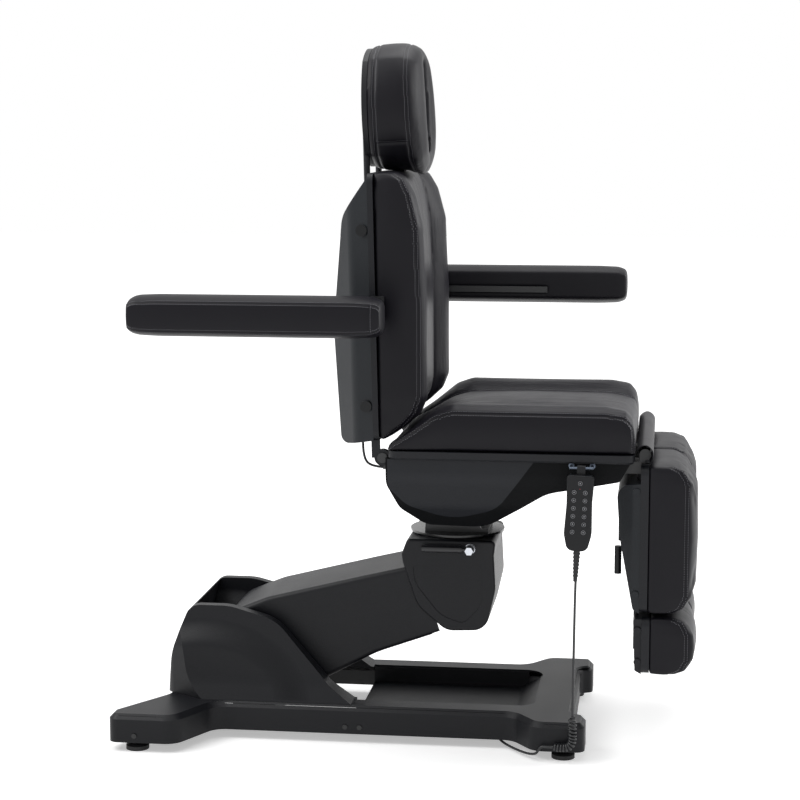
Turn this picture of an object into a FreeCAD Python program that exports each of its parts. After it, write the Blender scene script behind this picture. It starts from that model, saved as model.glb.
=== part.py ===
import FreeCAD, Part
import math
import os
import types
import Sketcher
from FreeCAD import Placement, Rotation, Vector

# An electric treatment chair on a lifting column, in millimetres. +X points to the sitter's feet,
# +Y to the sitter's left, +Z up. The origin is on the floor, under the middle of the whole chair.

# Driving sizes, one plain number each.
SIZES = {
    # General clearances and overruns
    "overrun": 5.0,
    "clearance": 0.3,
    "running_fit": 0.05,
    "play": 2.0,
    "skin": 4.0,
    "screw_head_radius": 5.5,
    "screw_head_height": 2.5,
    # Base covers, frame and feet
    "foot_height": 20.0,
    "foot_radius": 25.0,
    "stud_radius": 6.0,
    "skirt_height": 62.0,
    "cover_bevel": 11.0,
    "base_rear": -628.0,
    "base_front": 397.0,
    "base_seam": -113.0,
    "rail_half": 205.0,
    "rear_wing_half": 330.0,
    "rear_wing_depth": 148.0,
    "rear_sweep": 88.0,
    "rear_middle_half": 150.0,
    "rear_neck": 62.0,
    "front_wing_half": 275.0,
    "front_wing_depth": 109.0,
    "front_neck": 50.0,
    "front_notch": 28.0,
    "notch_half": 182.0,
    "wing_round": 20.0,
    "neck_round": 42.0,
    "tray_half": 148.0,
    "tray_front": 285.0,
    "tray_drop": 41.0,
    "tray_ramp": 46.0,
    "beam_width": 40.0,
    "beam_height": 34.0,
    "beam_rise": 10.0,
    "beam_wall": 3.0,
    "beam_middle": 176.0,
    "foot_inset_x": 58.0,
    "foot_inset_y": 30.0,
    "foot_plate": 6.0,
    # Rear housing that the lifting arm swings in
    "housing_rise": 204.0,
    "housing_low_half": 190.0,
    "housing_top_half": 150.0,
    "housing_inner_half": 128.0,
    "housing_back_wall": 14.0,
    # Lifting arm and its two shafts
    "rear_shaft_x": -350.0,
    "rear_shaft_z": 200.0,
    "front_shaft_x": 97.0,
    "front_shaft_z": 315.0,
    "shaft_radius": 14.0,
    "arm_half": 112.0,
    "arm_plate": 8.0,
    "arm_plate_gap": 92.0,
    "link_drop": 46.0,
    "link_shift": 26.0,
    "link_radius": 9.0,
    "link_half": 40.0,
    # Knuckle, turntable and lock
    "knuckle_half": 121.0,
    "knuckle_length": 208.0,
    "knuckle_height": 171.0,
    "knuckle_cover": 8.4,
    "knuckle_top": 408.0,
    "cap_height": 33.0,
    "disc_radius": 105.5,
    "disc_plate": 5.0,
    "disc_lift": 2.0,
    "swivel_radius": 30.0,
    "tilt_x": 60.0,
    "tilt_z": 545.0,
    "tilt_radius": 12.0,
    "tilt_cheek": 8.0,
    "tilt_half": 58.0,
    "lever_x": 137.0,
    "lever_z": 424.0,
    "lever_grip": 88.0,
    "lever_radius": 7.5,
    # Seat
    "seat_rear": -26.0,
    "seat_front": 486.0,
    "seat_half": 272.0,
    "rim_base": 642.0,
    "rim_height": 18.0,
    "seat_crest": 757.0,
    "seat_valley": 736.0,
    "seat_swell": 8.0,
    "belly_rear": -33.0,
    "belly_depth": 162.0,
    "belly_half": 246.0,
    "belly_skin": 4.0,
    "panel_proud": 3.0,
    "frame_half": 226.0,
    "frame_tube": 28.0,
    # Backrest
    "hinge_x": -41.0,
    "hinge_z": 640.0,
    "hinge_radius": 11.0,
    "back_lean": 1.4,
    "back_top": 1243.0,
    "back_base": 678.0,
    "back_half": 252.0,
    "board_rear": -58.0,
    "board_front": -46.0,
    "back_crest": 56.0,
    "back_valley": 28.0,
    "shell_rear": -150.0,
    "knob_radius": 12.0,
    "knob_height": 6.0,
    # Headrest
    "head_height": 276.0,
    "head_half": 150.0,
    "head_rear": -81.0,
    "head_seam": 17.0,
    "head_front": 48.0,
    "head_drop": 20.0,
    "face_hole_height": 190.0,
    "face_hole_half": 42.0,
    "post_radius": 7.0,
    "post_gap": 90.0,
    "post_length": 290.0,
    # Armrests
    "arm_pivot_x": -49.0,
    "arm_pivot_z": 960.0,
    "rest_length": 534.0,
    "rest_tail": 24.0,
    "rest_width": 90.0,
    "rest_inner": 298.0,
    "rest_thick": 88.0,
    "rest_rise": 10.0,
    "rest_bar": 12.0,
    "rest_bar_height": 14.0,
    "rest_bar_reach": 325.0,
    # Legs
    "leg_hinge_x": 515.0,
    "leg_hinge_z": 655.0,
    "leg_gap": 6.0,
    "leg_half_width": 128.0,
    "leg_top": 636.0,
    "leg_base": 322.0,
    "leg_board_rear": 507.0,
    "leg_board_front": 524.0,
    "leg_pad_front": 626.0,
    "leg_shell_rear": 456.0,
    "foot_top": 312.0,
    "foot_base": 190.0,
    "foot_offset": 6.0,
    "foot_pad_front": 630.0,
    "foot_rail_radius": 5.5,
    "foot_rail_length": 190.0,
    "leg_lever_z": 445.0,
    "leg_lever_length": 60.0,
    "flap_radius": 18.3,
    "flap_wall": 2.4,
    # Handset, its hook and its cord
    "handset_x": 384.0,
    "handset_top": 622.0,
    "handset_length": 160.0,
    "handset_width": 58.0,
    "handset_thick": 22.0,
    "handset_y": -292.0,
    "handset_lean": 2.4,
    "key_radius": 5.0,
    "key_height": 0.8,
    "hook_z": 635.0,
    "hook_y": -284.0,
    "hook_fit": 0.55,
    "hook_bar_radius": 3.0,
    "relief_length": 66.0,
    "cord_radius": 2.75,
    "coil_radius": 9.5,
    "coil_pitch": 8.6,
    "coil_end_pitch": 6.4,
    "coil_drop": 50.0,
    "coil_bend": 28.0,
    "coil_run": 28.0,
    "coil_top": 112.0,
    "coil_x": 372.0,
    "gland_x": 205.0,
    "cable_y": -120.0,
    "cable_x": -100.0,
    "cable_z": 600.0,
}

doc = FreeCAD.newDocument("TreatmentChair")
sheet = doc.addObject("Spreadsheet::Sheet", "Sizes")
for row, (name, value) in enumerate(SIZES.items(), start=1):
    sheet.set(f"A{row}", name)
    sheet.set(f"B{row}", repr(value))
    sheet.setAlias(f"B{row}", name)
doc.recompute()


class Size:
    """A length that knows its value and the sheet expression that gives it."""

    def __init__(self, value, text):
        self.value = value
        self.text = text

    def __add__(self, other):
        return Size(self.value + number(other), f"({self.text} + {wording(other)})")

    def __sub__(self, other):
        return Size(self.value - number(other), f"({self.text} - {wording(other)})")

    def __mul__(self, factor):
        return Size(self.value * number(factor), f"({self.text} * {wording(factor)})")

    def __truediv__(self, factor):
        return Size(self.value / number(factor), f"({self.text} / {wording(factor)})")

    def __neg__(self):
        return Size(-self.value, f"(-1 * {self.text})")

    def __float__(self):
        return float(self.value)


def number(item):
    return item.value if isinstance(item, Size) else item


def wording(item):
    return item.text if isinstance(item, Size) else repr(item)


S = types.SimpleNamespace(**{name: Size(float(sheet.get(name)), f"Sizes.{name}") for name in SIZES})
ZERO = Size(0.0, "0")
KEPT = []
AXES = {"X": Vector(1, 0, 0), "Y": Vector(0, 1, 0), "Z": Vector(0, 0, 1)}
# For each sketch plane, the sign of its normal along the world axis that it faces.
FACING = {"XY_Plane": 1, "XZ_Plane": -1, "YZ_Plane": 1}


def keep(item, label):
    item.Label = label
    KEPT.append(item)
    return item


def bind(item, prop, size):
    """Sets a property to a size and ties it to the sheet."""
    if prop.isidentifier():
        setattr(item, prop, number(size))
    if isinstance(size, Size) and size.text != "0":
        item.setExpression(prop, size.text)


def corner_geometry(corners):
    """The straight and round stretches of a closed outline with rounded corners."""
    count = len(corners)
    places = [Vector(number(c[0]), number(c[1]), 0) for c in corners]
    radii = [number(c[2]) if len(c) > 2 else 0 for c in corners]
    cuts = []
    arcs = []
    for i, here in enumerate(places):
        before = (places[i - 1] - here).normalize()
        after = (places[(i + 1) % count] - here).normalize()
        if not radii[i]:
            cuts.append((here, here))
            arcs.append(None)
            continue
        half = before.getAngle(after) / 2
        reach = radii[i] / math.tan(half)
        middle = here + (before + after).normalize() * (radii[i] / math.sin(half))
        start = here + before * reach
        end = here + after * reach
        turns_left = (before.cross(after)).z < 0
        first, last = (start, end) if turns_left else (end, start)
        angles = [math.atan2(p.y - middle.y, p.x - middle.x) for p in (first, last)]
        circle = Part.Circle(middle, Vector(0, 0, 1), radii[i])
        cuts.append((start, end))
        arcs.append((Part.ArcOfCircle(circle, *angles), turns_left))
    lines = [Part.LineSegment(cuts[i][1], cuts[(i + 1) % count][0]) for i in range(count)]
    return places, lines, arcs


def outline(sketch, corners):
    """Draws a closed outline through corners (x, y, radius), fully held by the sheet's sizes."""
    places, lines, arcs = corner_geometry(corners)
    count = len(corners)
    rule = Sketcher.Constraint
    line_ids = [sketch.addGeometry(line, False) for line in lines]
    for i, corner in enumerate(corners):
        ahead = line_ids[i]
        behind = line_ids[i - 1]
        if arcs[i] is None:
            sketch.addConstraint(rule("Coincident", behind, 2, ahead, 1))
            held = (ahead, 1)
        else:
            arc, turns_left = arcs[i]
            arc_id = sketch.addGeometry(arc, False)
            point_id = sketch.addGeometry(Part.Point(places[i]), True)
            first, last = (1, 2) if turns_left else (2, 1)
            sketch.addConstraint(rule("Tangent", behind, 2, arc_id, first))
            sketch.addConstraint(rule("Tangent", arc_id, last, ahead, 1))
            sketch.addConstraint(rule("PointOnObject", point_id, 1, behind))
            sketch.addConstraint(rule("PointOnObject", point_id, 1, ahead))
            index = sketch.addConstraint(rule("Radius", arc_id, number(corner[2])))
            bind(sketch, f"Constraints[{index}]", corner[2])
            held = (point_id, 1)
        for kind, size in (("DistanceX", corner[0]), ("DistanceY", corner[1])):
            index = sketch.addConstraint(rule(kind, -1, 1, held[0], held[1], number(size)))
            bind(sketch, f"Constraints[{index}]", size)


def new_sketch(body, plane, at=ZERO):
    """An empty sketch on one of the body's own planes, moved along the world axis it faces."""
    sketch = body.newObject("Sketcher::SketchObject", "Outline")
    support = [item for item in body.Origin.OriginFeatures if item.Role == plane][0]
    sketch.AttachmentSupport = [(support, "")]
    sketch.MapMode = "FlatFace"
    shift = at * FACING[plane]
    sketch.AttachmentOffset = Placement(Vector(0, 0, number(shift)), Rotation())
    bind(sketch, ".AttachmentOffset.Base.z", shift)
    return sketch


def pad(plane, corners, width, at=ZERO, body=None):
    """A body padded from an outline, as far to each side of the place at."""
    body = body or doc.addObject("PartDesign::Body", "Piece")
    sketch = new_sketch(body, plane, at)
    outline(sketch, corners)
    feature = body.newObject("PartDesign::Pad", "Pad")
    feature.Profile = sketch
    feature.SideType = "Symmetric"
    bind(feature, "Length", width)
    doc.recompute()
    return body


def pocket(body, plane, corners, width, at=ZERO):
    """Cuts an outline out of a body, as far to each side of the place at."""
    before = body.Shape.Volume
    sketch = new_sketch(body, plane, at)
    outline(sketch, corners)
    feature = body.newObject("PartDesign::Pocket", "Pocket")
    feature.Profile = sketch
    feature.SideType = "Symmetric"
    bind(feature, "Length", width)
    doc.recompute()
    if not body.Shape.Volume < before:
        raise ValueError(f"a pocket in {body.Label} cuts nothing")
    return body


def soften(body, kind, size, wanted):
    """Fillets or chamfers the body's edges whose middles and ends the test accepts."""
    edges = []
    for index, edge in enumerate(body.Shape.Edges, start=1):
        ends = [vertex.Point for vertex in edge.Vertexes]
        middle = edge.valueAt((edge.FirstParameter + edge.LastParameter) / 2)
        if all(wanted(point) for point in ends + [middle]):
            edges.append(f"Edge{index}")
    feature = body.newObject(f"PartDesign::{kind}", kind)
    feature.Base = (body.Tip if body.Tip != feature else feature.BaseFeature, edges)
    bind(feature, "Radius" if kind == "Fillet" else "Size", size)
    doc.recompute()
    return body


def block(x0, x1, y0, y1, z0, z1):
    """A box between two corners."""
    item = doc.addObject("Part::Box", "Block")
    for prop, low, high in (("Length", x0, x1), ("Width", y0, y1), ("Height", z0, z1)):
        bind(item, prop, high - low)
    item.Placement.Base = Vector(number(x0), number(y0), number(z0))
    for letter, low in (("x", x0), ("y", y0), ("z", z0)):
        bind(item, f".Placement.Base.{letter}", low)
    return item


def rod(axis, centre, radius, length, tip_radius=None):
    """A round bar, or a cone, along X, Y or Z with its middle at the centre."""
    kind = "Part::Cylinder" if tip_radius is None else "Part::Cone"
    item = doc.addObject(kind, "Rod")
    if tip_radius is None:
        bind(item, "Radius", radius)
    else:
        bind(item, "Radius1", radius)
        bind(item, "Radius2", tip_radius)
    bind(item, "Height", length)
    item.Placement.Rotation = Rotation(Vector(0, 0, 1), AXES[axis])
    low = list(centre)
    low["XYZ".index(axis)] = centre["XYZ".index(axis)] - length / 2
    item.Placement.Base = Vector(*[number(part) for part in low])
    for letter, part in zip("xyz", low):
        bind(item, f".Placement.Base.{letter}", part)
    return item


def fuse(*items):
    joined = doc.addObject("Part::MultiFuse", "Joined")
    joined.Shapes = list(items)
    joined.Refine = True
    return joined


def common(*items):
    shared = items[0]
    for item in items[1:]:
        both = doc.addObject("Part::Common", "Shared")
        both.Base = shared
        both.Tool = item
        both.Refine = True
        shared = both
    return shared


def cut(base, *tools):
    for tool in tools:
        rest = doc.addObject("Part::Cut", "Rest")
        rest.Base = base
        rest.Tool = tool
        rest.Refine = True
        base = rest
    return base


def group(*items):
    """Separate solids that share one node."""
    together = doc.addObject("Part::Compound", "Group")
    together.Links = list(items)
    return together


def leaned(item):
    """Turns a finished piece of the backrest back by its lean, about the recline hinge."""
    tilted = doc.addObject("Part::Compound", "Leaned")
    tilted.Links = [item]
    centre = Vector(S.hinge_x.value, 0, S.hinge_z.value)
    tilted.Placement = Placement(Vector(), Rotation(Vector(0, 1, 0), -S.back_lean.value), centre)
    return tilted


def solid_piece(shape):
    """Holds a shape that is worked out from the sheet's sizes."""
    item = doc.addObject("Part::Feature", "Formed")
    item.Shape = shape
    return item


def arc_edge(start, through, end):
    return Part.Arc(start, through, end).toShape()


# Padded pieces


def cushion_section(place, half, base, crest, valley, swell):
    """A padded slice: a flat base, sides that swell, two crests and the hollow between them."""
    shoulder = half * 0.80
    inner = half * 0.60
    side = base + (crest - base) * 0.45
    high = base + (crest - base) * 0.86
    slope = (crest + valley) / 2
    points = [
        (place(-half + swell, base), None, place(half - swell, base)),
        (place(half - swell, base), place(half, side), place(half - swell / 2, high)),
        (place(half - swell / 2, high), place(half * 0.92, crest - (crest - high) * 0.2), place(shoulder, crest)),
        (place(shoulder, crest), place((shoulder + inner) / 2, slope + (crest - valley) * 0.12), place(inner, valley)),
        (place(inner, valley), place(0, valley + (crest - valley) * 0.10 + swell * 0.2), place(-inner, valley)),
        (place(-inner, valley), place(-(shoulder + inner) / 2, slope + (crest - valley) * 0.12), place(-shoulder, crest)),
        (place(-shoulder, crest), place(-half * 0.92, crest - (crest - high) * 0.2), place(-half + swell / 2, high)),
        (place(-half + swell / 2, high), place(-half, side), place(-half + swell, base)),
    ]
    edges = []
    for start, through, end in points:
        if through is None:
            edges.append(Part.LineSegment(start, end).toShape())
        else:
            edges.append(arc_edge(start, through, end))
    return Part.Wire(edges)


def pad_section(place, half, base, top, swell):
    """A slice of a plain pad: flat base, swelling sides and a crowned top."""
    rise = top - base
    shoulder = half * 0.84
    high = base + rise * 0.80
    near_top = top - rise * 0.05
    edges = [
        Part.LineSegment(place(-half + swell, base), place(half - swell, base)).toShape(),
        arc_edge(place(half - swell, base), place(half, base + rise * 0.42), place(half - swell * 0.6, high)),
        arc_edge(place(half - swell * 0.6, high), place(half * 0.95, top - rise * 0.09), place(shoulder, near_top)),
        arc_edge(place(shoulder, near_top), place(0, top), place(-shoulder, near_top)),
        arc_edge(place(-shoulder, near_top), place(-half * 0.95, top - rise * 0.09), place(-half + swell * 0.6, high)),
        arc_edge(place(-half + swell * 0.6, high), place(-half, base + rise * 0.42), place(-half + swell, base)),
    ]
    return Part.Wire(edges)


def lofted(wires, ruled=True):
    return solid_piece(Part.makeLoft(wires, True, ruled))


# Base: covers, tray, frame and feet


def front_cover_corners(wall):
    """Plan of the front cover, drawn in by a wall's thickness."""
    back = S.base_seam if not number(wall) else S.base_seam - S.overrun
    front = S.base_front - wall
    neck = S.base_front - S.front_wing_depth + wall
    rail = S.rail_half - wall
    wing = S.front_wing_half - wall
    notch = S.base_front - S.front_notch - wall
    flank = S.notch_half + S.front_notch / 2
    half = [
        (back, rail),
        (neck - S.front_neck, rail, S.neck_round),
        (neck, wing, S.neck_round),
        (front, wing, S.wing_round),
        (front, flank, S.wing_round * 0.8),
        (notch, S.notch_half, S.wing_round),
    ]
    return mirror_corners(half)


def rear_cover_corners(wall):
    """Plan of the rear cover, whose wings reach back past its middle."""
    front = S.base_seam if not number(wall) else S.base_seam + S.overrun
    back = S.base_rear + wall
    neck = S.base_rear + S.rear_wing_depth - wall
    rail = S.rail_half - wall
    wing = S.rear_wing_half - wall
    middle = S.base_rear + S.rear_sweep + wall
    half = [
        (middle, S.rear_middle_half, S.neck_round),
        (back, wing - S.wing_round * 2, S.wing_round),
        (back, wing, S.wing_round),
        (neck, wing, S.neck_round),
        (neck + S.rear_neck, rail, S.neck_round),
        (front, rail),
    ]
    return mirror_corners(half)


def mirror_corners(half):
    """Closes an outline that is the same on both sides of the X axis."""
    other = [(corner[0], -corner[1], *corner[2:]) for corner in reversed(half)]
    return half + other


def mirror_front(half):
    """Closes a front view that is the same on both sides of the Z axis."""
    return half + [(-corner[0], *corner[1:]) for corner in reversed(half)]


def box_corners(x0, x1, y0, y1, radius=None):
    points = [(x0, y0), (x1, y0), (x1, y1), (x0, y1)]
    return [(x, y, radius) for x, y in points] if radius else points


def base_cover(corners):
    """A moulded cover: a skirt and a bevelled top, hollow and open below."""
    low = S.foot_height
    middle = low + S.skirt_height / 2
    body = pad("XY_Plane", corners(ZERO), S.skirt_height, middle)
    high = (low + S.skirt_height).value

    def on_rim(point):
        return abs(point.z - high) < 0.01 and abs(point.x - S.base_seam.value) > 0.01 or rim_seam_end(point)

    def rim_seam_end(point):
        ends = abs(abs(point.y) - S.rail_half.value) < 0.01
        return abs(point.z - high) < 0.01 and abs(point.x - S.base_seam.value) < 0.01 and ends

    soften(body, "Chamfer", S.cover_bevel, on_rim)
    depth = S.skirt_height - S.skin
    pocket(body, "XY_Plane", corners(S.skin * 1.6), depth * 2, low)
    return body


def make_base_covers():
    front = base_cover(front_cover_corners)
    tray = box_corners(S.base_seam - S.overrun, S.tray_front, -S.tray_half, S.tray_half)
    tray[1] = (*tray[1], S.neck_round)
    tray[2] = (*tray[2], S.neck_round)
    pocket(front, "XY_Plane", tray, S.skirt_height * 3, S.foot_height)
    keep(front, "base_front_cover")
    rear = base_cover(rear_cover_corners)
    well = box_corners(S.base_rear + S.rear_wing_depth, S.base_seam + S.overrun, -S.housing_inner_half,
                       S.housing_inner_half)
    pocket(rear, "XY_Plane", well, S.skirt_height * 3, S.foot_height)
    keep(rear, "base_rear_cover")


def make_tray():
    """The liner between the rails: a floor that ramps up at the front, and two walls."""
    low = S.tray_drop - S.skin
    high = S.foot_height + S.skirt_height - S.skin
    front = S.tray_front - S.clearance
    half = S.tray_half - S.clearance
    side = [
        (S.base_seam, low),
        (front - S.tray_ramp, low, S.wing_round),
        (front, high - S.skin),
        (front, high),
        (S.base_seam, high),
    ]
    body = pad("XZ_Plane", side, half * 2)
    hollow = [
        (S.base_seam - S.overrun, S.tray_drop),
        (front - S.tray_ramp - S.skin, S.tray_drop, S.wing_round),
        (front - S.skin, high - S.skin),
        (front - S.skin, high + S.overrun),
        (S.base_seam - S.overrun, high + S.overrun),
    ]
    pocket(body, "XZ_Plane", hollow, (half - S.skin) * 2)
    corner = [
        (front + S.overrun, half - S.neck_round),
        (front + S.overrun, half + S.overrun),
        (front - S.neck_round, half + S.overrun),
    ]
    lower = [(x, -y) for x, y in corner]
    for points in (corner, lower):
        pocket(body, "XY_Plane", points, high * 3, low)
    keep(body, "tray_liner")


def hollow_beam(x0, x1, y0, y1, along):
    """A square steel tube between two corners, open at its ends."""
    low = S.foot_height + S.beam_rise
    high = low + S.beam_height
    wall = S.beam_wall
    over = S.overrun
    outer = block(x0, x1, y0, y1, low, high)
    if along == "X":
        inner = block(x0 - over, x1 + over, y0 + wall, y1 - wall, low + wall, high - wall)
    else:
        inner = block(x0 + wall, x1 - wall, y0 - over, y1 + over, low + wall, high - wall)
    return cut(outer, inner)


def foot_places():
    rear = S.base_rear + S.foot_inset_x
    front = S.base_front - S.foot_inset_x * 0.8
    rear_y = S.rear_wing_half - S.foot_inset_y
    front_y = S.front_wing_half - S.foot_inset_y
    return [(rear, rear_y), (rear, -rear_y), (front, front_y), (front, -front_y)]


def make_base_frame():
    """The welded chassis: two long tubes, two cross tubes, four foot plates and the shaft cheeks."""
    low = S.foot_height + S.beam_rise
    high = low + S.beam_height
    half = S.beam_width / 2
    rear = S.base_rear + S.rear_sweep + S.skin * 1.6 + S.clearance
    cross_rear = rear + S.beam_width
    front = S.base_front - S.front_notch - S.foot_plate * 2
    cross_front = front - S.beam_width
    parts = []
    for side in (1, -1):
        middle = S.beam_middle * side
        parts.append(hollow_beam(cross_rear, cross_front, middle - half, middle + half, "X"))
    rear_y = S.rear_wing_half - S.foot_inset_y
    front_y = S.front_wing_half - S.foot_inset_y
    parts.append(hollow_beam(rear, cross_rear, -rear_y, rear_y, "Y"))
    parts.append(hollow_beam(cross_front, front, -front_y, front_y, "Y"))
    plate_half = S.foot_radius * 0.8
    for x, y in foot_places():
        inner = rear + half if number(x) < 0 else front - half
        low_x, high_x = (x - plate_half, inner) if number(x) < 0 else (inner, x + plate_half)
        parts.append(block(low_x, high_x, y - plate_half, y + plate_half, low - S.foot_plate, low))
    tie = S.rear_shaft_x - S.beam_width
    parts.append(block(tie, tie + S.beam_width * 2.4, -S.beam_middle + half, S.beam_middle - half, low, high))
    for side in (1, -1):
        parts.append(shaft_cheek(side, high))
    parts.extend(rear_link_bracket())
    keep(fuse(*parts), "base_frame")


def shaft_cheek(side, low):
    """A plate that stands on the chassis beside the arm and holds the end of the rear shaft."""
    inner = S.arm_half + S.play
    plate = S.arm_plate
    head = S.shaft_radius * 2.6
    corners = [
        (S.rear_shaft_x - S.beam_width * 1.7, low),
        (S.rear_shaft_x + S.beam_width * 1.7, low),
        (S.rear_shaft_x + head, S.rear_shaft_z + head, head * 0.8),
        (S.rear_shaft_x - head, S.rear_shaft_z + head, head * 0.8),
    ]
    middle = (inner + plate / 2) * side
    body = pad("XZ_Plane", corners, plate, middle)
    base = block(S.rear_shaft_x - S.beam_width, S.rear_shaft_x + S.beam_width,
                 (middle - plate / 2), (middle + plate / 2), low - S.beam_wall, low)
    bore = rod("Y", (S.rear_shaft_x, middle, S.rear_shaft_z), S.shaft_radius, plate * 3)
    return cut(fuse(body, base), bore)


def make_feet():
    feet = []
    low = S.foot_height + S.beam_rise - S.foot_plate
    for x, y in foot_places():
        pad_height = S.foot_height * 0.45
        pad_top = pad_height + S.foot_height * 0.2
        rubber = rod("Z", (x, y, pad_height / 2), S.foot_radius, pad_height)
        neck = rod("Z", (x, y, (pad_height + pad_top) / 2), S.foot_radius, pad_top - pad_height, S.foot_radius * 0.6)
        stud = rod("Z", (x, y, (pad_top + low) / 2), S.stud_radius, low - pad_top)
        feet.append(fuse(rubber, neck, stud))
    keep(group(*feet), "levelling_feet")


def make_base_screws():
    """Round-headed screws in the skirts of both covers."""
    screws = []
    height = S.foot_height + S.skirt_height * 0.25
    rows = ((S.base_rear + S.foot_inset_x, S.rear_wing_half), (S.base_seam - S.beam_width * 0.4, S.rail_half),
            (S.base_seam + S.beam_width * 0.4, S.rail_half))
    for x, y in rows:
        for side in (1, -1):
            centre = (x, (y + S.screw_head_height / 2) * side, height)
            screws.append(rod("Y", centre, S.screw_head_radius, S.screw_head_height))
    keep(group(*screws), "cover_screws")


def make_arm_housing():
    """The rear housing: a flared moulding, open in front and above, with a well for the arm."""
    low = S.foot_height + S.skirt_height
    high = low + S.housing_rise
    rear = S.base_rear + S.rear_sweep
    tip = S.base_seam - S.screw_head_radius
    run = tip - rear
    side = [
        (rear, low),
        (tip, low),
        (tip - run * 0.12, low + S.housing_rise * 0.17, S.housing_rise * 0.4),
        (tip - run * 0.41, low + S.housing_rise * 0.86, S.housing_rise * 0.5),
        (tip - run * 0.66, high, S.housing_rise * 0.6),
        (rear + run * 0.13, high, S.housing_rise * 0.16),
        (rear + run * 0.02, low + S.housing_rise * 0.45, S.housing_rise * 0.8),
    ]
    profile = pad("XZ_Plane", side, S.housing_low_half * 2)
    flare = S.housing_low_half - S.housing_top_half
    half = [
        (S.housing_low_half, low),
        (S.housing_low_half - flare * 0.55, low + S.housing_rise * 0.22, S.housing_rise * 0.5),
        (S.housing_top_half, high + S.overrun),
    ]
    section = pad("YZ_Plane", mirror_front(half), run * 1.1, (rear + tip) / 2)
    taper = S.housing_low_half * 0.30
    plan_half = [
        (rear - S.overrun, S.housing_low_half - taper, S.neck_round),
        (rear + taper * 1.6, S.housing_low_half + S.overrun, S.neck_round * 2),
        (tip + S.overrun, S.housing_low_half + S.overrun),
    ]
    plan = pad("XY_Plane", mirror_corners(plan_half), S.housing_rise * 1.2, (low + high) / 2)
    form = common(profile, section, plan)
    well = [
        (rear + S.housing_back_wall + run * 0.06, low - S.overrun),
        (tip + S.overrun, low - S.overrun),
        (tip + S.overrun, high + S.overrun),
        (rear + S.housing_back_wall + run * 0.12, high + S.overrun),
        (rear + S.housing_back_wall + run * 0.06, low + S.housing_rise * 0.5, S.housing_rise * 0.4),
    ]
    hole = pad("XZ_Plane", well, S.housing_inner_half * 2)
    keep(cut(form, hole), "arm_housing")


def make_rear_shaft():
    """The shaft that the arm swings on, with a plain bush on each side of the arm."""
    length = (S.arm_half + S.play + S.arm_plate) * 2
    parts = [rod("Y", (S.rear_shaft_x, ZERO, S.rear_shaft_z), S.shaft_radius, length)]
    for side in (1, -1):
        low = S.arm_plate_gap + S.arm_plate + S.clearance
        bush = S.arm_half + S.play - low
        parts.append(rod("Y", (S.rear_shaft_x, (low + bush / 2) * side, S.rear_shaft_z), S.shaft_radius * 1.5, bush))
    keep(fuse(*parts), "rear_shaft")


# Lifting arm, its parallel link and the knuckle


def arm_split():
    """The seam between the arm's two covers, from the rear to the front."""
    rise = S.front_shaft_z - S.rear_shaft_z
    run = S.front_shaft_x - S.rear_shaft_x
    return [
        (S.rear_shaft_x - run * 0.19, S.rear_shaft_z - rise * 0.30),
        (S.rear_shaft_x + run * 0.56, S.rear_shaft_z + rise * 0.44, run * 0.4),
        (S.front_shaft_x - run * 0.12, S.front_shaft_z - rise * 0.04),
    ]


def arm_shell(corners, opening):
    """One half of the arm's plastic cover: a rounded channel of even wall."""
    half = S.arm_half
    body = pad("XZ_Plane", corners, half * 2)

    def long_edge(point):
        return abs(abs(point.y) - half.value) < 0.01 and opening(point)

    soften(body, "Fillet", S.arm_half * 0.10, long_edge)
    return body


def make_arm_covers():
    rise = S.front_shaft_z - S.rear_shaft_z
    run = S.front_shaft_x - S.rear_shaft_x
    rear = S.rear_shaft_x
    base = S.rear_shaft_z
    seam = arm_split()
    top = [
        (S.front_shaft_x - run * 0.235, S.front_shaft_z + rise * 0.52),
        (rear + run * 0.56, base + rise * 1.33, run * 0.8),
        (rear + run * 0.07, base + rise * 0.85, run * 0.3),
        (rear - run * 0.15, base + rise * 0.50, run * 0.12),
    ]
    upper = [seam[0], (seam[1][0], seam[1][1], seam[1][2]), seam[2], top[0], top[1], top[2], top[3]]
    lower = [
        seam[2],
        (seam[1][0], seam[1][1], seam[1][2]),
        seam[0],
        (rear - run * 0.13, base - rise * 0.76, run * 0.08),
        (rear + run * 0.30, base - rise * 0.86, run * 0.12),
        (rear + run * 0.62, base - rise * 0.18, run * 0.6),
        (S.front_shaft_x - run * 0.06, base + rise * 0.27),
    ]
    def above(point):
        return point.z > line_height(seam, point.x) + 1

    def below(point):
        return point.z < line_height(seam, point.x) - 1

    outer_upper = arm_shell(upper, above)
    outer_lower = arm_shell(lower, below)
    inner = inset_hollow(top, lower[3:], seam, S.skin)
    holes = [rod("Y", (rear, ZERO, base), S.shaft_radius * 1.5 + S.play, S.arm_half * 3) for cover in range(2)]
    keep(cut(outer_upper, inner[0], holes[0]), "arm_upper_cover")
    # The underside stays open at the rear, where the link's bracket comes up into the arm.
    mouth = block(rear - run * 0.20, rear + run * 0.22, -S.link_half * 1.5, S.link_half * 1.5, base - rise,
                  base - rise * 0.3)
    keep(cut(outer_lower, inner[1], holes[1], mouth), "arm_lower_cover")


def line_height(seam, x):
    """The seam's height at a place along the arm, without its rounding."""
    points = [(number(a), number(b)) for a, b, *rest in seam]
    for (x0, z0), (x1, z1) in zip(points, points[1:]):
        if x <= x1 or (x1, z1) == points[-1]:
            return z0 + (z1 - z0) * (x - x0) / (x1 - x0)
    return points[-1][1]


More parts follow.
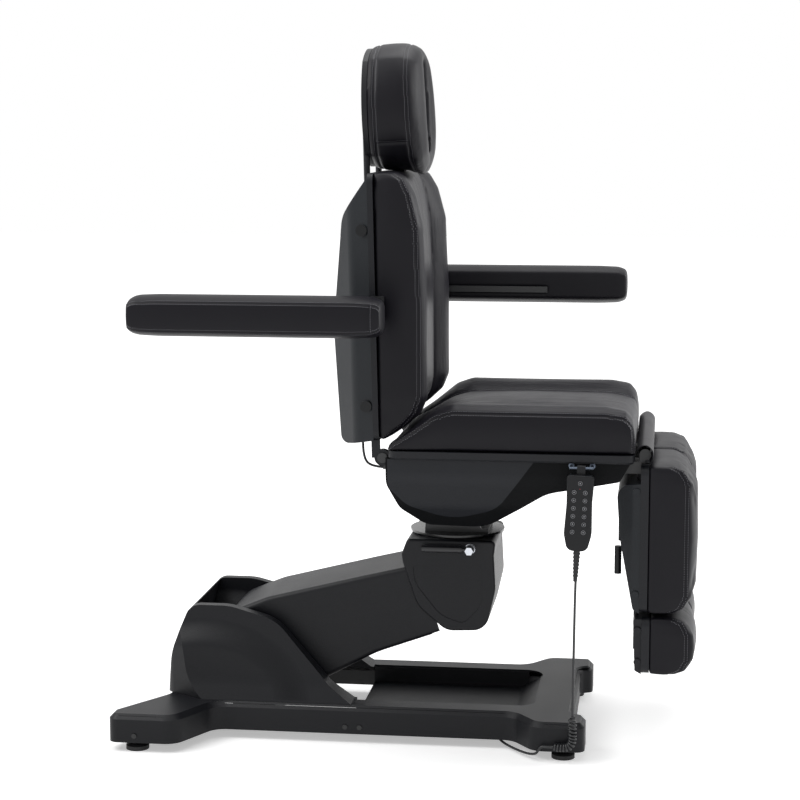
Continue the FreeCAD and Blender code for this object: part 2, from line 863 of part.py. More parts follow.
def inset_hollow(top, bottom, seam, wall):
    """Two copies of the room inside the arm's covers, one wall in from their outer faces."""
    over = S.overrun * 3
    corners = [
        (bottom[3][0] + over, bottom[3][1] + wall),
        (seam[2][0] + over, seam[2][1]),
        (top[0][0] + over, top[0][1] - wall),
        (top[1][0], top[1][1] - wall, top[1][2]),
        (top[2][0] + wall, top[2][1] - wall, top[2][2]),
        (top[3][0] + wall, top[3][1] - wall, top[3][2]),
        (bottom[0][0] + wall, bottom[0][1] + wall, bottom[0][2]),
        (bottom[1][0] - wall, bottom[1][1] + wall, bottom[1][2]),
        (bottom[2][0] - wall, bottom[2][1] + wall, bottom[2][2]),
    ]
    width = (S.arm_half - wall) * 2
    return pad("XZ_Plane", corners, width), pad("XZ_Plane", corners, width)


def make_arm_beam():
    """The arm's steel: two side plates joined by cross tubes, bored for both shafts."""
    run = S.front_shaft_x - S.rear_shaft_x
    rise = S.front_shaft_z - S.rear_shaft_z
    eye = S.shaft_radius * 2.4
    rear = (S.rear_shaft_x, S.rear_shaft_z)
    front = (S.front_shaft_x, S.front_shaft_z)
    corners = [
        (rear[0] - eye, rear[1] - eye, eye * 0.8),
        (rear[0] + run * 0.3, rear[1] - eye * 0.6, eye),
        (front[0] - run * 0.24, front[1] - eye * 1.5, eye),
        (front[0] + eye, front[1] - eye, eye * 0.8),
        (front[0] + eye * 0.9, front[1] + eye, eye * 0.8),
        (front[0] - run * 0.2, front[1] + eye * 0.9, eye),
        (rear[0] + run * 0.2, rear[1] + eye * 2.1, eye),
        (rear[0] - eye, rear[1] + eye, eye * 0.8),
    ]
    parts = []
    for side in (1, -1):
        middle = (S.arm_plate_gap + S.arm_plate / 2) * side
        parts.append(pad("XZ_Plane", corners, S.arm_plate, middle))
    tube = S.shaft_radius * 1.3
    for share, lift in ((0.24, 0.9), (0.56, 0.6)):
        centre = (rear[0] + run * share, ZERO, rear[1] + rise * share + eye * lift)
        parts.append(rod("Y", centre, tube, S.arm_plate_gap * 2 + S.arm_plate))
    bores = []
    for x, z in (rear, front):
        bores.append(rod("Y", (x, ZERO, z), S.shaft_radius + S.running_fit, S.arm_half * 3))
    plates = cut(fuse(*parts), *bores)
    shaft = rod("Y", (S.front_shaft_x, ZERO, S.front_shaft_z), S.shaft_radius + S.running_fit, S.arm_half * 2)
    keep(fuse(plates, shaft), "arm_beam")


def make_link_bar():
    """The bar under the arm that keeps the knuckle level, with an eye at each end."""
    rear = (S.rear_shaft_x + S.link_shift, S.rear_shaft_z - S.link_drop)
    front = (S.front_shaft_x + S.link_shift, S.front_shaft_z - S.link_drop)
    eye = S.link_radius * 1.8
    corners = [
        (rear[0] - eye, rear[1] - eye, eye * 0.9),
        (rear[0] + eye, rear[1] - eye, eye * 0.9),
        (front[0] + eye, front[1] - eye, eye * 0.9),
        (front[0] + eye, front[1] + eye, eye * 0.9),
        (front[0] - eye, front[1] + eye, eye * 0.9),
        (rear[0] - eye, rear[1] + eye, eye * 0.9),
    ]
    bar = pad("XZ_Plane", corners, S.link_half * 0.5)
    bores = []
    for x, z in (rear, front):
        bores.append(rod("Y", (x, ZERO, z), S.link_radius + S.running_fit, S.link_half * 2))
    keep(cut(bar, *bores), "link_bar")


def rear_link_bracket():
    """Two lugs on the chassis with the pin that the parallel link turns on."""
    rear = (S.rear_shaft_x + S.link_shift, ZERO, S.rear_shaft_z - S.link_drop)
    low = S.foot_height + S.beam_rise + S.beam_height
    lugs = [rod("Y", rear, S.link_radius, (S.link_half + S.arm_plate) * 2)]
    for side in (1, -1):
        middle = (S.link_half + S.arm_plate / 2) * side
        head = S.link_radius * 2
        corners = [
            (rear[0] - head * 1.4, low),
            (rear[0] + head * 1.4, low),
            (rear[0] + head, rear[2] + head, head * 0.9),
            (rear[0] - head, rear[2] + head, head * 0.9),
        ]
        lugs.append(pad("XZ_Plane", corners, S.arm_plate, middle))
    return lugs


def spread(x, z, width, height, shares):
    """Corners of an outline whose places are shares of its width and height, radii of its height."""
    corners = []
    for across, up, *rest in shares:
        corners.append((x + width * across, z + height * up, *[height * share for share in rest]))
    return corners


KNUCKLE_SHARES = [
    (0.00, 1.00),
    (0.01, 0.90, 0.30),
    (0.17, 0.32, 0.40),
    (0.48, 0.00, 0.25),
    (0.90, 0.02, 0.22),
    (1.00, 0.55, 0.40),
    (0.98, 1.00),
]


def knuckle_place():
    x = S.front_shaft_x - S.knuckle_length * 0.54
    return x, S.knuckle_top - S.knuckle_height, S.knuckle_length, S.knuckle_height


def make_knuckle_frame():
    """The knuckle's steel: a bored block on the front shaft with a bearing seat on top."""
    x, z, length, height = knuckle_place()
    half = S.arm_plate_gap - S.play
    reach = S.swivel_radius * 1.5
    side = [
        (S.front_shaft_x - reach, S.front_shaft_z - reach * 0.2, reach * 0.5),
        (S.front_shaft_x - reach * 0.2, S.front_shaft_z - reach * 1.35, reach * 0.5),
        (S.front_shaft_x + reach * 1.1, S.front_shaft_z - reach * 1.35, reach * 0.5),
        (S.front_shaft_x + reach * 1.5, S.knuckle_top - reach, reach * 0.5),
        (S.front_shaft_x + reach * 1.5, S.knuckle_top),
        (S.front_shaft_x - reach * 1.5, S.knuckle_top),
        (S.front_shaft_x - reach * 1.5, S.knuckle_top - reach, reach * 0.3),
    ]
    block_body = pad("XZ_Plane", side, half * 2)
    link = (S.front_shaft_x + S.link_shift, S.front_shaft_z - S.link_drop)
    slot = box_corners(S.front_shaft_x - reach * 1.2, S.front_shaft_x + reach * 2,
                       S.front_shaft_z - reach * 2, S.front_shaft_z - S.shaft_radius * 1.7)
    slot_body = pad("XZ_Plane", slot, S.link_half * 2)
    ring = rod("Z", (S.front_shaft_x, ZERO, S.knuckle_top + S.cap_height / 2), reach - S.clearance, S.cap_height)
    bore = rod("Z", (S.front_shaft_x, ZERO, S.knuckle_top), S.swivel_radius + S.running_fit, S.cap_height * 2.4)
    pin = rod("Y", (link[0], ZERO, link[1]), S.link_radius, half * 2)
    shaft = rod("Y", (S.front_shaft_x, ZERO, S.front_shaft_z), S.shaft_radius + S.running_fit * 2, half * 4)
    keep(fuse(cut(fuse(block_body, ring), slot_body, bore, shaft), pin), "knuckle_frame")


def make_knuckle_covers():
    """Two side covers with a tongue-shaped recess, a front wrap and the cap under the disc."""
    x, z, length, height = knuckle_place()
    corners = spread(x, z, length, height, KNUCKLE_SHARES)
    inner = S.knuckle_half - S.knuckle_cover
    middle = inner + S.knuckle_cover / 2
    sides = []
    for side in (1, -1):
        body = pad("XZ_Plane", corners, S.knuckle_cover, middle * side)
        outer = (S.knuckle_half * side).value

        def outside(point):
            return abs(point.y - outer) < 0.01 and point.z < S.knuckle_top.value - 0.01

        soften(body, "Fillet", S.knuckle_cover * 0.6, outside)
        tongue = spread(x, z, length, height, TONGUE_SHARES)
        pocket(body, "XZ_Plane", tongue, S.skin, S.knuckle_half * side)
        sides.append(body)
    keep(group(*sides), "knuckle_side_covers")
    wrap = spread(x, z, length, height, WRAP_SHARES)
    width = (inner - S.clearance) * 2
    body = pad("XZ_Plane", wrap, width)
    keep(body, "knuckle_front_cover")
    low = S.knuckle_top
    cap_side = [
        (x, low),
        (x + length * 0.98, low),
        (x + length, low + S.cap_height, S.cap_height * 0.3),
        (x + length * 0.06, low + S.cap_height, S.cap_height * 0.3),
    ]
    cap = pad("XZ_Plane", cap_side, S.knuckle_half * 2)

    def upright(point):
        return abs(abs(point.y) - S.knuckle_half.value) < 0.01 and point.z > low.value + 0.01

    soften(cap, "Fillet", S.cap_height * 0.2, upright)
    bore = rod("Z", (S.front_shaft_x, ZERO, low), S.swivel_radius * 1.5, S.cap_height * 3)
    keep(cut(cap, bore), "knuckle_cap")


TONGUE_SHARES = [
    (0.12, 0.86, 0.05),
    (0.14, 0.62, 0.40),
    (0.42, 0.20, 0.40),
    (0.66, 0.10, 0.12),
    (0.86, 0.34, 0.30),
    (0.86, 0.86, 0.05),
]
WRAP_SHARES = [
    (0.945, 1.00),
    (0.962, 0.55, 0.40),
    (0.875, 0.05, 0.20),
    (0.69, 0.038),
    (0.69, 0.010),
    (0.90, 0.020, 0.22),
    (1.00, 0.55, 0.40),
    (0.98, 1.00),
]


def make_turntable():
    """The swivel disc with its shaft, and the bracket above it that carries the tilt pin."""
    low = S.knuckle_top + S.cap_height + S.disc_lift
    centre = (S.front_shaft_x, ZERO, low + S.disc_plate / 2)
    plate = rod("Z", centre, S.disc_radius, S.disc_plate)
    bottom = S.knuckle_top - S.swivel_radius * 0.5
    shaft = rod("Z", (S.front_shaft_x, ZERO, (low + bottom) / 2), S.swivel_radius, low - bottom)
    keep(fuse(plate, shaft), "swivel_disc")
    top = low + S.disc_plate
    foot = block(S.tilt_x - S.swivel_radius, S.front_shaft_x + S.disc_radius * 0.7, -S.tilt_half, S.tilt_half,
                 top, top + S.tilt_cheek)
    parts = [foot]
    head = S.tilt_radius * 2
    for side in (1, -1):
        corners = [
            (S.tilt_x - S.swivel_radius, top),
            (S.front_shaft_x + S.disc_radius * 0.6, top),
            (S.tilt_x + head, S.tilt_z + head, head * 0.9),
            (S.tilt_x - head, S.tilt_z + head, head * 0.9),
        ]
        parts.append(pad("XZ_Plane", corners, S.tilt_cheek, (S.tilt_half - S.tilt_cheek / 2) * side))
    bore = rod("Y", (S.tilt_x, ZERO, S.tilt_z), S.tilt_radius + S.running_fit, S.tilt_half * 3)
    keep(cut(fuse(*parts), bore), "tilt_bracket")


def make_swivel_lock():
    """The clamp lever beside the cap: a stud and flange, a ribbed grip and a bright cap nut."""
    y = -(S.knuckle_half + S.play)
    stud_length = S.lever_radius * 4
    stud_centre = (S.lever_x, y - stud_length / 2 + S.play, S.lever_z)
    flange = rod("Y", (S.lever_x, y - S.lever_radius * 0.5 + S.play, S.lever_z), S.lever_radius * 1.5, S.lever_radius)
    stud = rod("Y", stud_centre, S.lever_radius * 0.6, stud_length)
    arm_y = y - S.lever_radius * 2
    hub = rod("Y", (S.lever_x, arm_y, S.lever_z), S.lever_radius * 1.3, S.lever_radius * 1.8)
    neck_end = S.lever_x - S.lever_radius * 2.2
    neck = rod("X", ((S.lever_x + neck_end) / 2, arm_y, S.lever_z), S.lever_radius * 0.6, S.lever_x - neck_end)
    bore = rod("Y", (S.lever_x, arm_y, S.lever_z), S.lever_radius * 0.6 + S.running_fit, stud_length)
    grip_x = neck_end - S.lever_grip / 2
    grip = rod("X", (grip_x, arm_y, S.lever_z), S.lever_radius, S.lever_grip)
    keep(fuse(cut(fuse(hub, neck), bore), grip), "lock_lever")
    nut_y = stud_centre[1] - stud_length / 2 + S.lever_radius * 0.45
    nut = doc.addObject("Part::Prism", "Nut")
    nut.Polygon = 6
    bind(nut, "Circumradius", S.lever_radius * 1.25)
    bind(nut, "Height", S.lever_radius)
    nut.Placement = Placement(Vector(S.lever_x.value, nut_y.value, S.lever_z.value), Rotation(Vector(1, 0, 0), 90))
    for letter, size in (("x", S.lever_x), ("y", nut_y), ("z", S.lever_z)):
        bind(nut, f".Placement.Base.{letter}", size)
    keep(fuse(flange, stud, nut), "lock_stud")


# Seat


def make_seat_frame():
    """The seat's welded tube frame with the tilt cheeks below and the hinge lugs behind."""
    high = S.rim_base
    low = high - S.frame_tube
    rear = S.seat_rear + S.skin * 2
    front = S.seat_front - S.frame_tube
    half = S.frame_half
    tube = S.frame_tube
    parts = []
    for side in (1, -1):
        tube_y = (half - tube / 2) * side
        parts.append(block(rear, front, tube_y - tube / 2, tube_y + tube / 2, low, high))
        middle = (S.tilt_half + S.play + S.tilt_cheek / 2) * side
        head = S.tilt_radius * 2
        corners = [
            (S.tilt_x - head * 2, low),
            (S.tilt_x - head, S.tilt_z - head, head * 0.9),
            (S.tilt_x + head, S.tilt_z - head, head * 0.9),
            (S.tilt_x + head * 2, low),
        ]
        parts.append(pad("XZ_Plane", corners, S.tilt_cheek, middle))
    for x in (rear, S.tilt_x - tube / 2, S.tilt_x + (front - S.tilt_x) * 0.55, front - tube):
        parts.append(block(x, x + tube, -half, half, low, high))
    pin_length = (S.tilt_half + S.play + S.tilt_cheek) * 2
    parts.append(rod("Y", (S.tilt_x, ZERO, S.tilt_z), S.tilt_radius, pin_length))
    parts.extend(back_hinge_lugs())
    parts.extend(leg_hinge_lugs())
    keep(fuse(*parts), "seat_frame")


def leg_hinge_places():
    """Middles of the three lugs that hold the legs' hinge rod."""
    outer = leg_middle(1) + S.leg_half_width * 0.62
    return [outer, ZERO, -outer]


def leg_hinge_lugs():
    """The rod that both legs hang on, and its three lugs on the front tube of the seat frame."""
    eye = S.hinge_radius * 1.1
    front = S.seat_front - S.frame_tube
    width = S.tilt_cheek
    low = S.rim_base - S.frame_tube
    parts = []
    for y in leg_hinge_places():
        parts.append(block(front - S.frame_tube * 0.4, S.leg_hinge_x, y - width / 2, y + width / 2, low,
                           S.rim_base - S.play))
        parts.append(block(S.leg_hinge_x - eye, S.leg_hinge_x, y - width / 2, y + width / 2,
                           S.leg_top + S.play, S.leg_hinge_z))
        parts.append(rod("Y", (S.leg_hinge_x, y, S.leg_hinge_z), eye, width))
    length = leg_hinge_places()[0] * 2 + width
    parts.append(rod("Y", (S.leg_hinge_x, ZERO, S.leg_hinge_z), S.hinge_radius * 0.7, length))
    return parts


def back_hinge_lugs():
    """Lugs behind the side tubes, with the pins that the backrest turns on."""
    radius = S.hinge_radius * 1.6
    width = S.tilt_cheek
    parts = []
    for side in (1, -1):
        y = (S.frame_half - width / 2) * side
        low = S.rim_base - S.frame_tube
        parts.append(rod("Y", (S.hinge_x, y, S.hinge_z), radius, width))
        parts.append(block(S.hinge_x, S.seat_rear + S.skin * 2, y - width / 2, y + width / 2, low, S.rim_base))
        pin_y = (S.frame_half + width / 2) * side
        parts.append(rod("Y", (S.hinge_x, pin_y, S.hinge_z), S.hinge_radius, width * 2))
    return parts


def back_hinge_straps():
    """Straps behind the backrest's board, each with an eye on a pin of the seat frame."""
    radius = S.hinge_radius * 1.6
    width = S.tilt_cheek
    parts = []
    for side in (1, -1):
        y = (S.frame_half + width / 2 + S.clearance * 2) * side
        low_y = y - width / 2
        high_y = y + width / 2
        eye = rod("Y", (S.hinge_x, y, S.hinge_z), radius, width)
        neck = block(S.board_rear - S.foot_plate, S.board_front, low_y, high_y, S.hinge_z, S.back_base)
        strap = block(S.board_rear - S.foot_plate, S.board_rear, low_y, high_y, S.hinge_z, S.back_base + S.frame_tube)
        bore = rod("Y", (S.hinge_x, y, S.hinge_z), S.hinge_radius + S.running_fit, width * 2)
        parts.append(cut(fuse(eye, neck, strap), bore))
    return parts


BELLY_SHARES = [
    (0.000, 1.00),
    (0.000, 0.64, 0.30),
    (0.050, 0.28, 0.25),
    (0.150, 0.02, 0.30),
    (0.400, 0.00, 0.60),
    (0.660, 0.55, 0.60),
    (0.955, 0.74, 0.06),
    (1.000, 1.00),
]
BELLY_FRONT_SHARES = [
    (1.00, 1.04),
    (1.00, 0.72, 0.40),
    (0.86, 0.34, 0.60),
    (0.62, -0.04, 0.10),
]


def belly_form(grow):
    """The hull under the seat: its side view cut by its front view, both grown outward."""
    low = S.rim_base - S.belly_depth
    length = S.seat_front - S.belly_rear
    side = spread(S.belly_rear - grow, low - grow, length + grow * 2, S.belly_depth + grow, BELLY_SHARES)
    profile = pad("XZ_Plane", side, (S.belly_half + grow) * 2 + S.overrun * 2)
    half = []
    for across, up, *rest in BELLY_FRONT_SHARES:
        place = ((S.belly_half + grow) * across, low - grow + (S.belly_depth + grow) * up)
        half.append((*place, *[S.belly_depth * share for share in rest]))
    section = pad("YZ_Plane", mirror_front(half), length * 1.2, S.belly_rear + length / 2)
    return common(profile, section)


def make_belly():
    """The moulded hull and the raised half-moon panel on each of its sides."""
    outer = belly_form(ZERO)
    inner = belly_form(-S.belly_skin)
    low = S.rim_base - S.belly_depth
    lid = block(S.belly_rear + S.belly_skin, S.seat_front - S.belly_skin * 2, -S.belly_half + S.belly_skin,
                S.belly_half - S.belly_skin, S.rim_base - S.belly_skin * 2, S.rim_base + S.overrun)
    reach = S.disc_radius
    hatch = block(S.tilt_x - reach * 0.55, S.front_shaft_x + reach, -S.tilt_half * 1.5, S.tilt_half * 1.5,
                  low - S.overrun, low + S.belly_depth * 0.45)
    notches = []
    width = S.tilt_cheek
    for side in (1, -1):
        middle = (S.frame_half + width * 0.25) * side
        reach_y = width * 1.25 + S.play * 2
        notches.append(block(S.belly_rear - S.overrun, S.belly_rear + S.frame_tube, middle - reach_y,
                             middle + reach_y, S.rim_base - S.frame_tube - S.play, S.rim_base + S.overrun))
    for y in leg_hinge_places():
        notches.append(block(S.seat_front - S.frame_tube, S.seat_front + S.overrun, y - width / 2 - S.play,
                             y + width / 2 + S.play, S.rim_base - S.frame_tube - S.play, S.rim_base + S.overrun))
    shell = cut(outer, inner, lid, hatch, *notches)
    gland = rod("X", (S.belly_rear - S.skin, S.cable_y, S.cable_z), S.cord_radius * 2.2, S.skin * 2.4)
    keep(fuse(shell, gland), "belly_shell")
    length = S.seat_front - S.belly_rear
    moon = spread(S.belly_rear + S.skin, low, length * 0.60, S.belly_depth, MOON_SHARES)
    panels = []
    for side in (1, -1):
        plate = pad("XZ_Plane", moon, S.belly_half, S.belly_half * 0.95 * side)
        grown = belly_form(S.panel_proud)
        panels.append(cut(common(grown, plate), belly_form(ZERO)))
    keep(group(*panels), "belly_panels")


MOON_SHARES = [
    (0.00, 0.985),
    (0.00, 0.60, 0.20),
    (0.12, 0.34, 0.40),
    (0.42, 0.12, 0.80),
    (0.74, 0.30, 0.50),
    (1.00, 0.985),
]


def make_seat_rim():
    """The board under the cushion, whose edge shows as a strip all round."""
    high = S.rim_base + S.rim_height
    middle = S.rim_base + S.rim_height / 2
    corners = box_corners(S.seat_rear, S.seat_front + S.skin * 2, -S.seat_half, S.seat_half, S.wing_round)
    body = pad("XY_Plane", corners, S.rim_height, middle)

    def lower(point):
        return abs(point.z - S.rim_base.value) < 0.01

    soften(body, "Chamfer", S.skin, lower)
    notches = []
    reach = S.tilt_cheek * 1.25 + S.play
    for side in (1, -1):
        middle_y = (S.frame_half + S.tilt_cheek * 0.25) * side
        notches.append(block(S.seat_rear - S.overrun, S.hinge_x + S.hinge_radius * 1.6 + S.play,
                             middle_y - reach, middle_y + reach, S.rim_base - S.overrun, high + S.overrun))
    keep(cut(body, *notches), "seat_rim")


SEAT_STATION_SHARES = ((0.00, 0.10, 0.10, 0.985), (0.09, 0.44, 0.42, 0.99), (0.19, 0.87, 0.83, 1.0),
                       (0.26, 1.0, 0.97, 1.0), (0.50, 1.0, 1.03, 1.0), (0.88, 1.0, 1.0, 1.0),
                       (0.96, 0.93, 0.90, 0.995), (0.99, 0.74, 0.78, 0.985), (1.00, 0.45, 0.50, 0.97))


def make_seat_cushion():
    """The seat's cushion: mitred at the rear, with a bolster along each side."""
    base = (S.rim_base + S.rim_height + S.clearance).value
    rear = S.seat_rear.value
    front = (S.seat_front + S.skin * 2).value
    half = S.seat_half.value
    crest = S.seat_crest.value - base
    valley = S.seat_valley.value - base
    run = front - rear
    wires = []
    for along, crest_share, valley_share, half_share in SEAT_STATION_SHARES:
        x = rear + run * along
        swell = S.seat_swell.value * min(1.0, crest_share)
        wires.append(cushion_section(lambda a, u, x=x: Vector(x, a, u), half * half_share, base,
                                     base + crest * crest_share, base + valley * valley_share, swell))
    keep(lofted(wires), "seat_cushion")


# Backrest and headrest


def make_back_board():
    """The backrest's board, bored for the headrest posts' sockets and the armrest shafts."""
    corners = box_corners(-S.back_half + S.skin, S.back_half - S.skin, S.back_base, S.back_top, S.wing_round)
    middle = (S.board_rear + S.board_front) / 2
    body = pad("YZ_Plane", corners, S.board_front - S.board_rear, middle)
    keep(leaned(fuse(body, *back_hinge_straps(), *post_sockets())), "back_board")


def make_back_shell():
    """The moulded shell behind the backrest, with a bevel down each side."""
    depth = S.board_rear - S.shell_rear
    height = S.back_top - S.back_base
    shares = ((0.00, 0.42, 0.60), (0.33, 0.84, 0.12), (0.74, 0.93, 0.06), (1.00, 0.985), (1.00, 0.00),
              (0.14, -0.025, 0.03))
    side = spread(S.shell_rear, S.back_base, depth, height, shares)
    profile = pad("XZ_Plane", side, S.back_half * 2)
    half = [
        (S.shell_rear - S.overrun, S.back_half * 0.62),
        (S.shell_rear + depth * 0.55, S.back_half * 0.90, S.neck_round),
        (S.board_rear, S.back_half - S.skin * 2),
    ]
    plan = pad("XY_Plane", mirror_corners(half), height * 1.2, S.back_base + height / 2)
    form = common(profile, plan)
    hollow_side = spread(S.shell_rear + S.skin, S.back_base + S.skin, depth + S.overrun, height - S.skin * 3, shares)
    hollow = pad("XZ_Plane", hollow_side, S.back_half * 2)
    hollow_half = [
        (S.shell_rear - S.overrun, S.back_half * 0.62 - S.skin),
        (S.shell_rear + depth * 0.55, S.back_half * 0.90 - S.skin, S.neck_round),
        (S.board_rear + S.overrun, S.back_half - S.skin * 3),
    ]
    hollow_plan = pad("XY_Plane", mirror_corners(hollow_half), height * 1.2, S.back_base + height / 2)
    bores = [rod("Z", (x, y, S.back_top), S.post_radius + S.play, S.post_length * 2) for x, y in post_places()]
    width = S.tilt_cheek
    for side in (1, -1):
        middle = (S.frame_half + width / 2) * side
        bores.append(block(S.board_rear - S.foot_plate - S.play, S.board_rear + S.overrun,
                           middle - width / 2 - S.play, middle + width / 2 + S.play * 2,
                           S.back_base - S.frame_tube, S.back_base + S.frame_tube + S.play))
    bores.extend(back_knobs())
    shell = leaned(cut(form, common(hollow, hollow_plan), *bores))
    gland_low = S.cable_z + S.frame_tube * 2
    gland_high = S.back_base + S.skin
    gland = rod("Z", (S.cable_x, S.cable_y, (gland_low + gland_high) / 2), S.cord_radius * 2.2, gland_high - gland_low)
    keep(fuse(shell, gland), "back_shell")


def back_knobs():
    """Round screw knobs that hold the shell, two on each side."""
    knobs = []
    x = S.board_rear - S.knob_radius * 1.2
    height = S.back_top - S.back_base
    for share in (0.13, 0.79):
        for side in (1, -1):
            y = (S.back_half - S.skin * 2 - S.knob_radius * 0.35 + S.knob_height / 2) * side
            knobs.append(rod("Y", (x, y, S.back_base + height * share), S.knob_radius, S.knob_height))
    return knobs


def make_back_knobs():
    keep(leaned(group(*back_knobs())), "back_shell_knobs")


BACK_STATION_SHARES = ((0.00, 0.08, 0.10, 0.94), (0.02, 0.30, 0.34, 0.96), (0.05, 0.55, 0.60, 0.98),
                       (0.10, 0.86, 0.90, 0.99), (0.16, 1.0, 1.0, 1.0), (0.50, 1.04, 1.05, 1.0),
                       (0.80, 1.0, 0.98, 1.0), (0.92, 0.84, 0.86, 0.985), (0.98, 0.66, 0.70, 0.96),
                       (1.00, 0.45, 0.50, 0.93))


def make_back_cushion():
    """The backrest's cushion: bolsters at both sides of a recessed middle panel."""
    rear = (S.board_front + S.clearance).value
    low = S.back_base.value
    run = S.back_top.value - low
    crest = S.back_crest.value - rear
    valley = S.back_valley.value - rear
    half = S.back_half.value
    wires = []
    for along, crest_share, valley_share, half_share in BACK_STATION_SHARES:
        z = low + run * along
        swell = S.seat_swell.value * min(1.0, crest_share)
        wires.append(cushion_section(lambda a, u, z=z: Vector(u, a, z), half * half_share, rear,
                                     rear + crest * crest_share, rear + valley * valley_share, swell))
    keep(leaned(lofted(wires)), "back_cushion")


def oval_wire(x, half_width, half_height, centre_z, slope_share=0.0):
    """An upright oval of four arcs, flatter at the sides than a circle, that may lean back."""
    share = 0.76

    def place(across, up):
        return Vector(x - half_height * up * slope_share, half_width * across, centre_z + half_height * up)

    places = [place(share * a, share * b) for a, b in ((1, 1), (1, -1), (-1, -1), (-1, 1))]
    edges = [
        arc_edge(places[3], place(0, 1), places[0]),
        arc_edge(places[0], place(1, 0), places[1]),
        arc_edge(places[1], place(0, -1), places[2]),
        arc_edge(places[2], place(-1, 0), places[3]),
    ]
    return Part.Wire(edges)


# Along the boxing and then the crowned face: the width, the height, the drop below the rear's
# low edge and the lean.
HEAD_BOX_SHARES = ((0.0, 0.95, 0.95, 0.0, 0.0), (0.18, 0.985, 0.985, 0.0, 0.0), (0.55, 1.0, 1.0, 0.0, 0.01),
                   (0.80, 1.0, 1.0, 0.0, 0.02), (1.0, 0.985, 0.985, 0.5, 0.03))
HEAD_FACE_SHARES = ((0.34, 0.95, 0.96, 0.80, 0.04), (0.70, 0.86, 0.91, 0.80, 0.04), (1.0, 0.70, 0.82, 0.40, 0.04))
HEAD_HOLE_SHARES = ((-0.05, 0.92), (0.62, 0.94), (0.86, 1.02), (1.02, 1.22))


def make_headrest():
    """The oval head cushion with its face hole, its board, and the two posts that carry it."""
    low = S.back_top.value + S.clearance.value
    half_height = S.head_height.value / 2
    centre = low + half_height
    half = S.head_half.value
    rear = S.head_rear.value + S.board_front.value - S.board_rear.value
    seam = S.head_seam.value
    front = S.head_front.value
    stations = [(rear + (seam - rear) * share, *rest) for share, *rest in HEAD_BOX_SHARES]
    stations += [(seam + (front - seam) * share, *rest) for share, *rest in HEAD_FACE_SHARES]
    wires = []
    for x, wide, tall, drop_share, slope_share in stations:
        drop = S.head_drop.value * drop_share
        wires.append(oval_wire(x, half * wide, half_height * tall + drop / 2, centre - drop / 2, slope_share))
    form = lofted(wires)
    hole_half = S.face_hole_half.value
    hole_height = S.face_hole_height.value / 2
    run = front - rear
    hole = lofted([oval_wire(rear + run * a, hole_half * b, hole_height * b, centre) for a, b in HEAD_HOLE_SHARES])
    keep(leaned(cut(form, hole)), "headrest_cushion")
    board_rear = S.head_rear.value
    board_front = rear - S.clearance.value
    plate = lofted([oval_wire(x, half * 0.93, half_height * 0.93, centre) for x in (board_rear, board_front)])
    over = S.overrun.value
    opening = lofted([oval_wire(x, hole_half, hole_height, centre) for x in (board_rear - over, rear + over)])
    keep(leaned(fuse(cut(plate, opening), *headrest_posts())), "headrest_board")


def post_places():
    """Where the headrest's two posts stand, let into the back of its board."""
    x = S.head_rear + S.post_radius * 0.2
    return [(x, S.post_gap), (x, -S.post_gap)]


def headrest_posts():
    """Two steel posts let into the head board."""
    posts = []
    high = S.back_top + S.head_height * 0.35
    low = high - S.post_length
    for x, y in post_places():
        posts.append(rod("Z", (x, y, (low + high) / 2), S.post_radius, S.post_length))
    return posts


def post_sockets():
    """The sockets behind the backrest's board that the headrest's posts slide in."""
    sockets = []
    top = S.back_top - S.head_height * 0.33
    for x, y in post_places():
        socket = block(x - S.post_radius * 1.8, S.board_rear, y - S.post_radius * 2, y + S.post_radius * 2,
                       top - S.post_length * 0.4, top)
        bore = rod("Z", (x, y, top), S.post_radius + S.running_fit, S.post_length * 2)
        sockets.append(cut(socket, bore))
    return sockets


# Armrests


def make_armrests():
    """Two padded rests on steel bars: the left one points forward, the right one is flipped back."""
    shafts = []
    for label, side, forward in (("left", 1, 1), ("right", -1, -1)):
        tail = S.arm_pivot_x - S.rest_tail * forward
        tip = tail + S.rest_length * forward
        middle_z = S.arm_pivot_z + S.rest_rise * forward
        form = armrest_form(tail.value, tip.value, side, middle_z.value)
        half = S.rest_bar_height / 2
        end = S.arm_pivot_x + S.rest_bar_reach * forward
        groove = rest_block(S.arm_pivot_x - half * 3 * forward, end + S.clearance * forward, forward,
                            S.rest_inner - S.overrun * 2, S.rest_inner + S.rest_bar / 2, side, half + S.clearance)
        keep(cut(form, groove), f"armrest_{label}_pad")
        bar = rest_block(S.arm_pivot_x, end, forward, S.rest_inner - S.rest_bar / 2,
                         S.rest_inner + S.rest_bar / 2 - S.clearance, side, half)
        eye_y = (S.rest_inner - S.rest_bar * 0.7) * side
        eye = rod("Y", (S.arm_pivot_x, eye_y, S.arm_pivot_z), S.tilt_radius * 1.5, S.rest_bar)
        shaft_end = S.rest_inner - S.rest_bar * 0.5
        shaft_start = S.back_half + S.play / 2
        bore = rod("Y", (S.arm_pivot_x, (shaft_end - S.rest_bar) * side, S.arm_pivot_z),
                   S.tilt_radius + S.running_fit, S.rest_bar * 2)
        keep(cut(fuse(bar, eye), bore), f"armrest_{label}_bar")
        length = shaft_end - S.clearance - shaft_start
        shaft = rod("Y", (S.arm_pivot_x, (shaft_start + length / 2) * side, S.arm_pivot_z), S.tilt_radius, length)
        shafts.append(fuse(shaft, *armrest_flange(side)))
    keep(group(*shafts), "armrest_shafts")


def rest_block(start, end, forward, near, far, side, half):
    """A flat bar along X on one side of the chair, centred on the armrest's pivot height."""
    x0, x1 = (start, end) if forward > 0 else (end, start)
    y0, y1 = (near, far) if side > 0 else (-far, -near)
    return block(x0, x1, y0, y1, S.arm_pivot_z - half, S.arm_pivot_z + half)


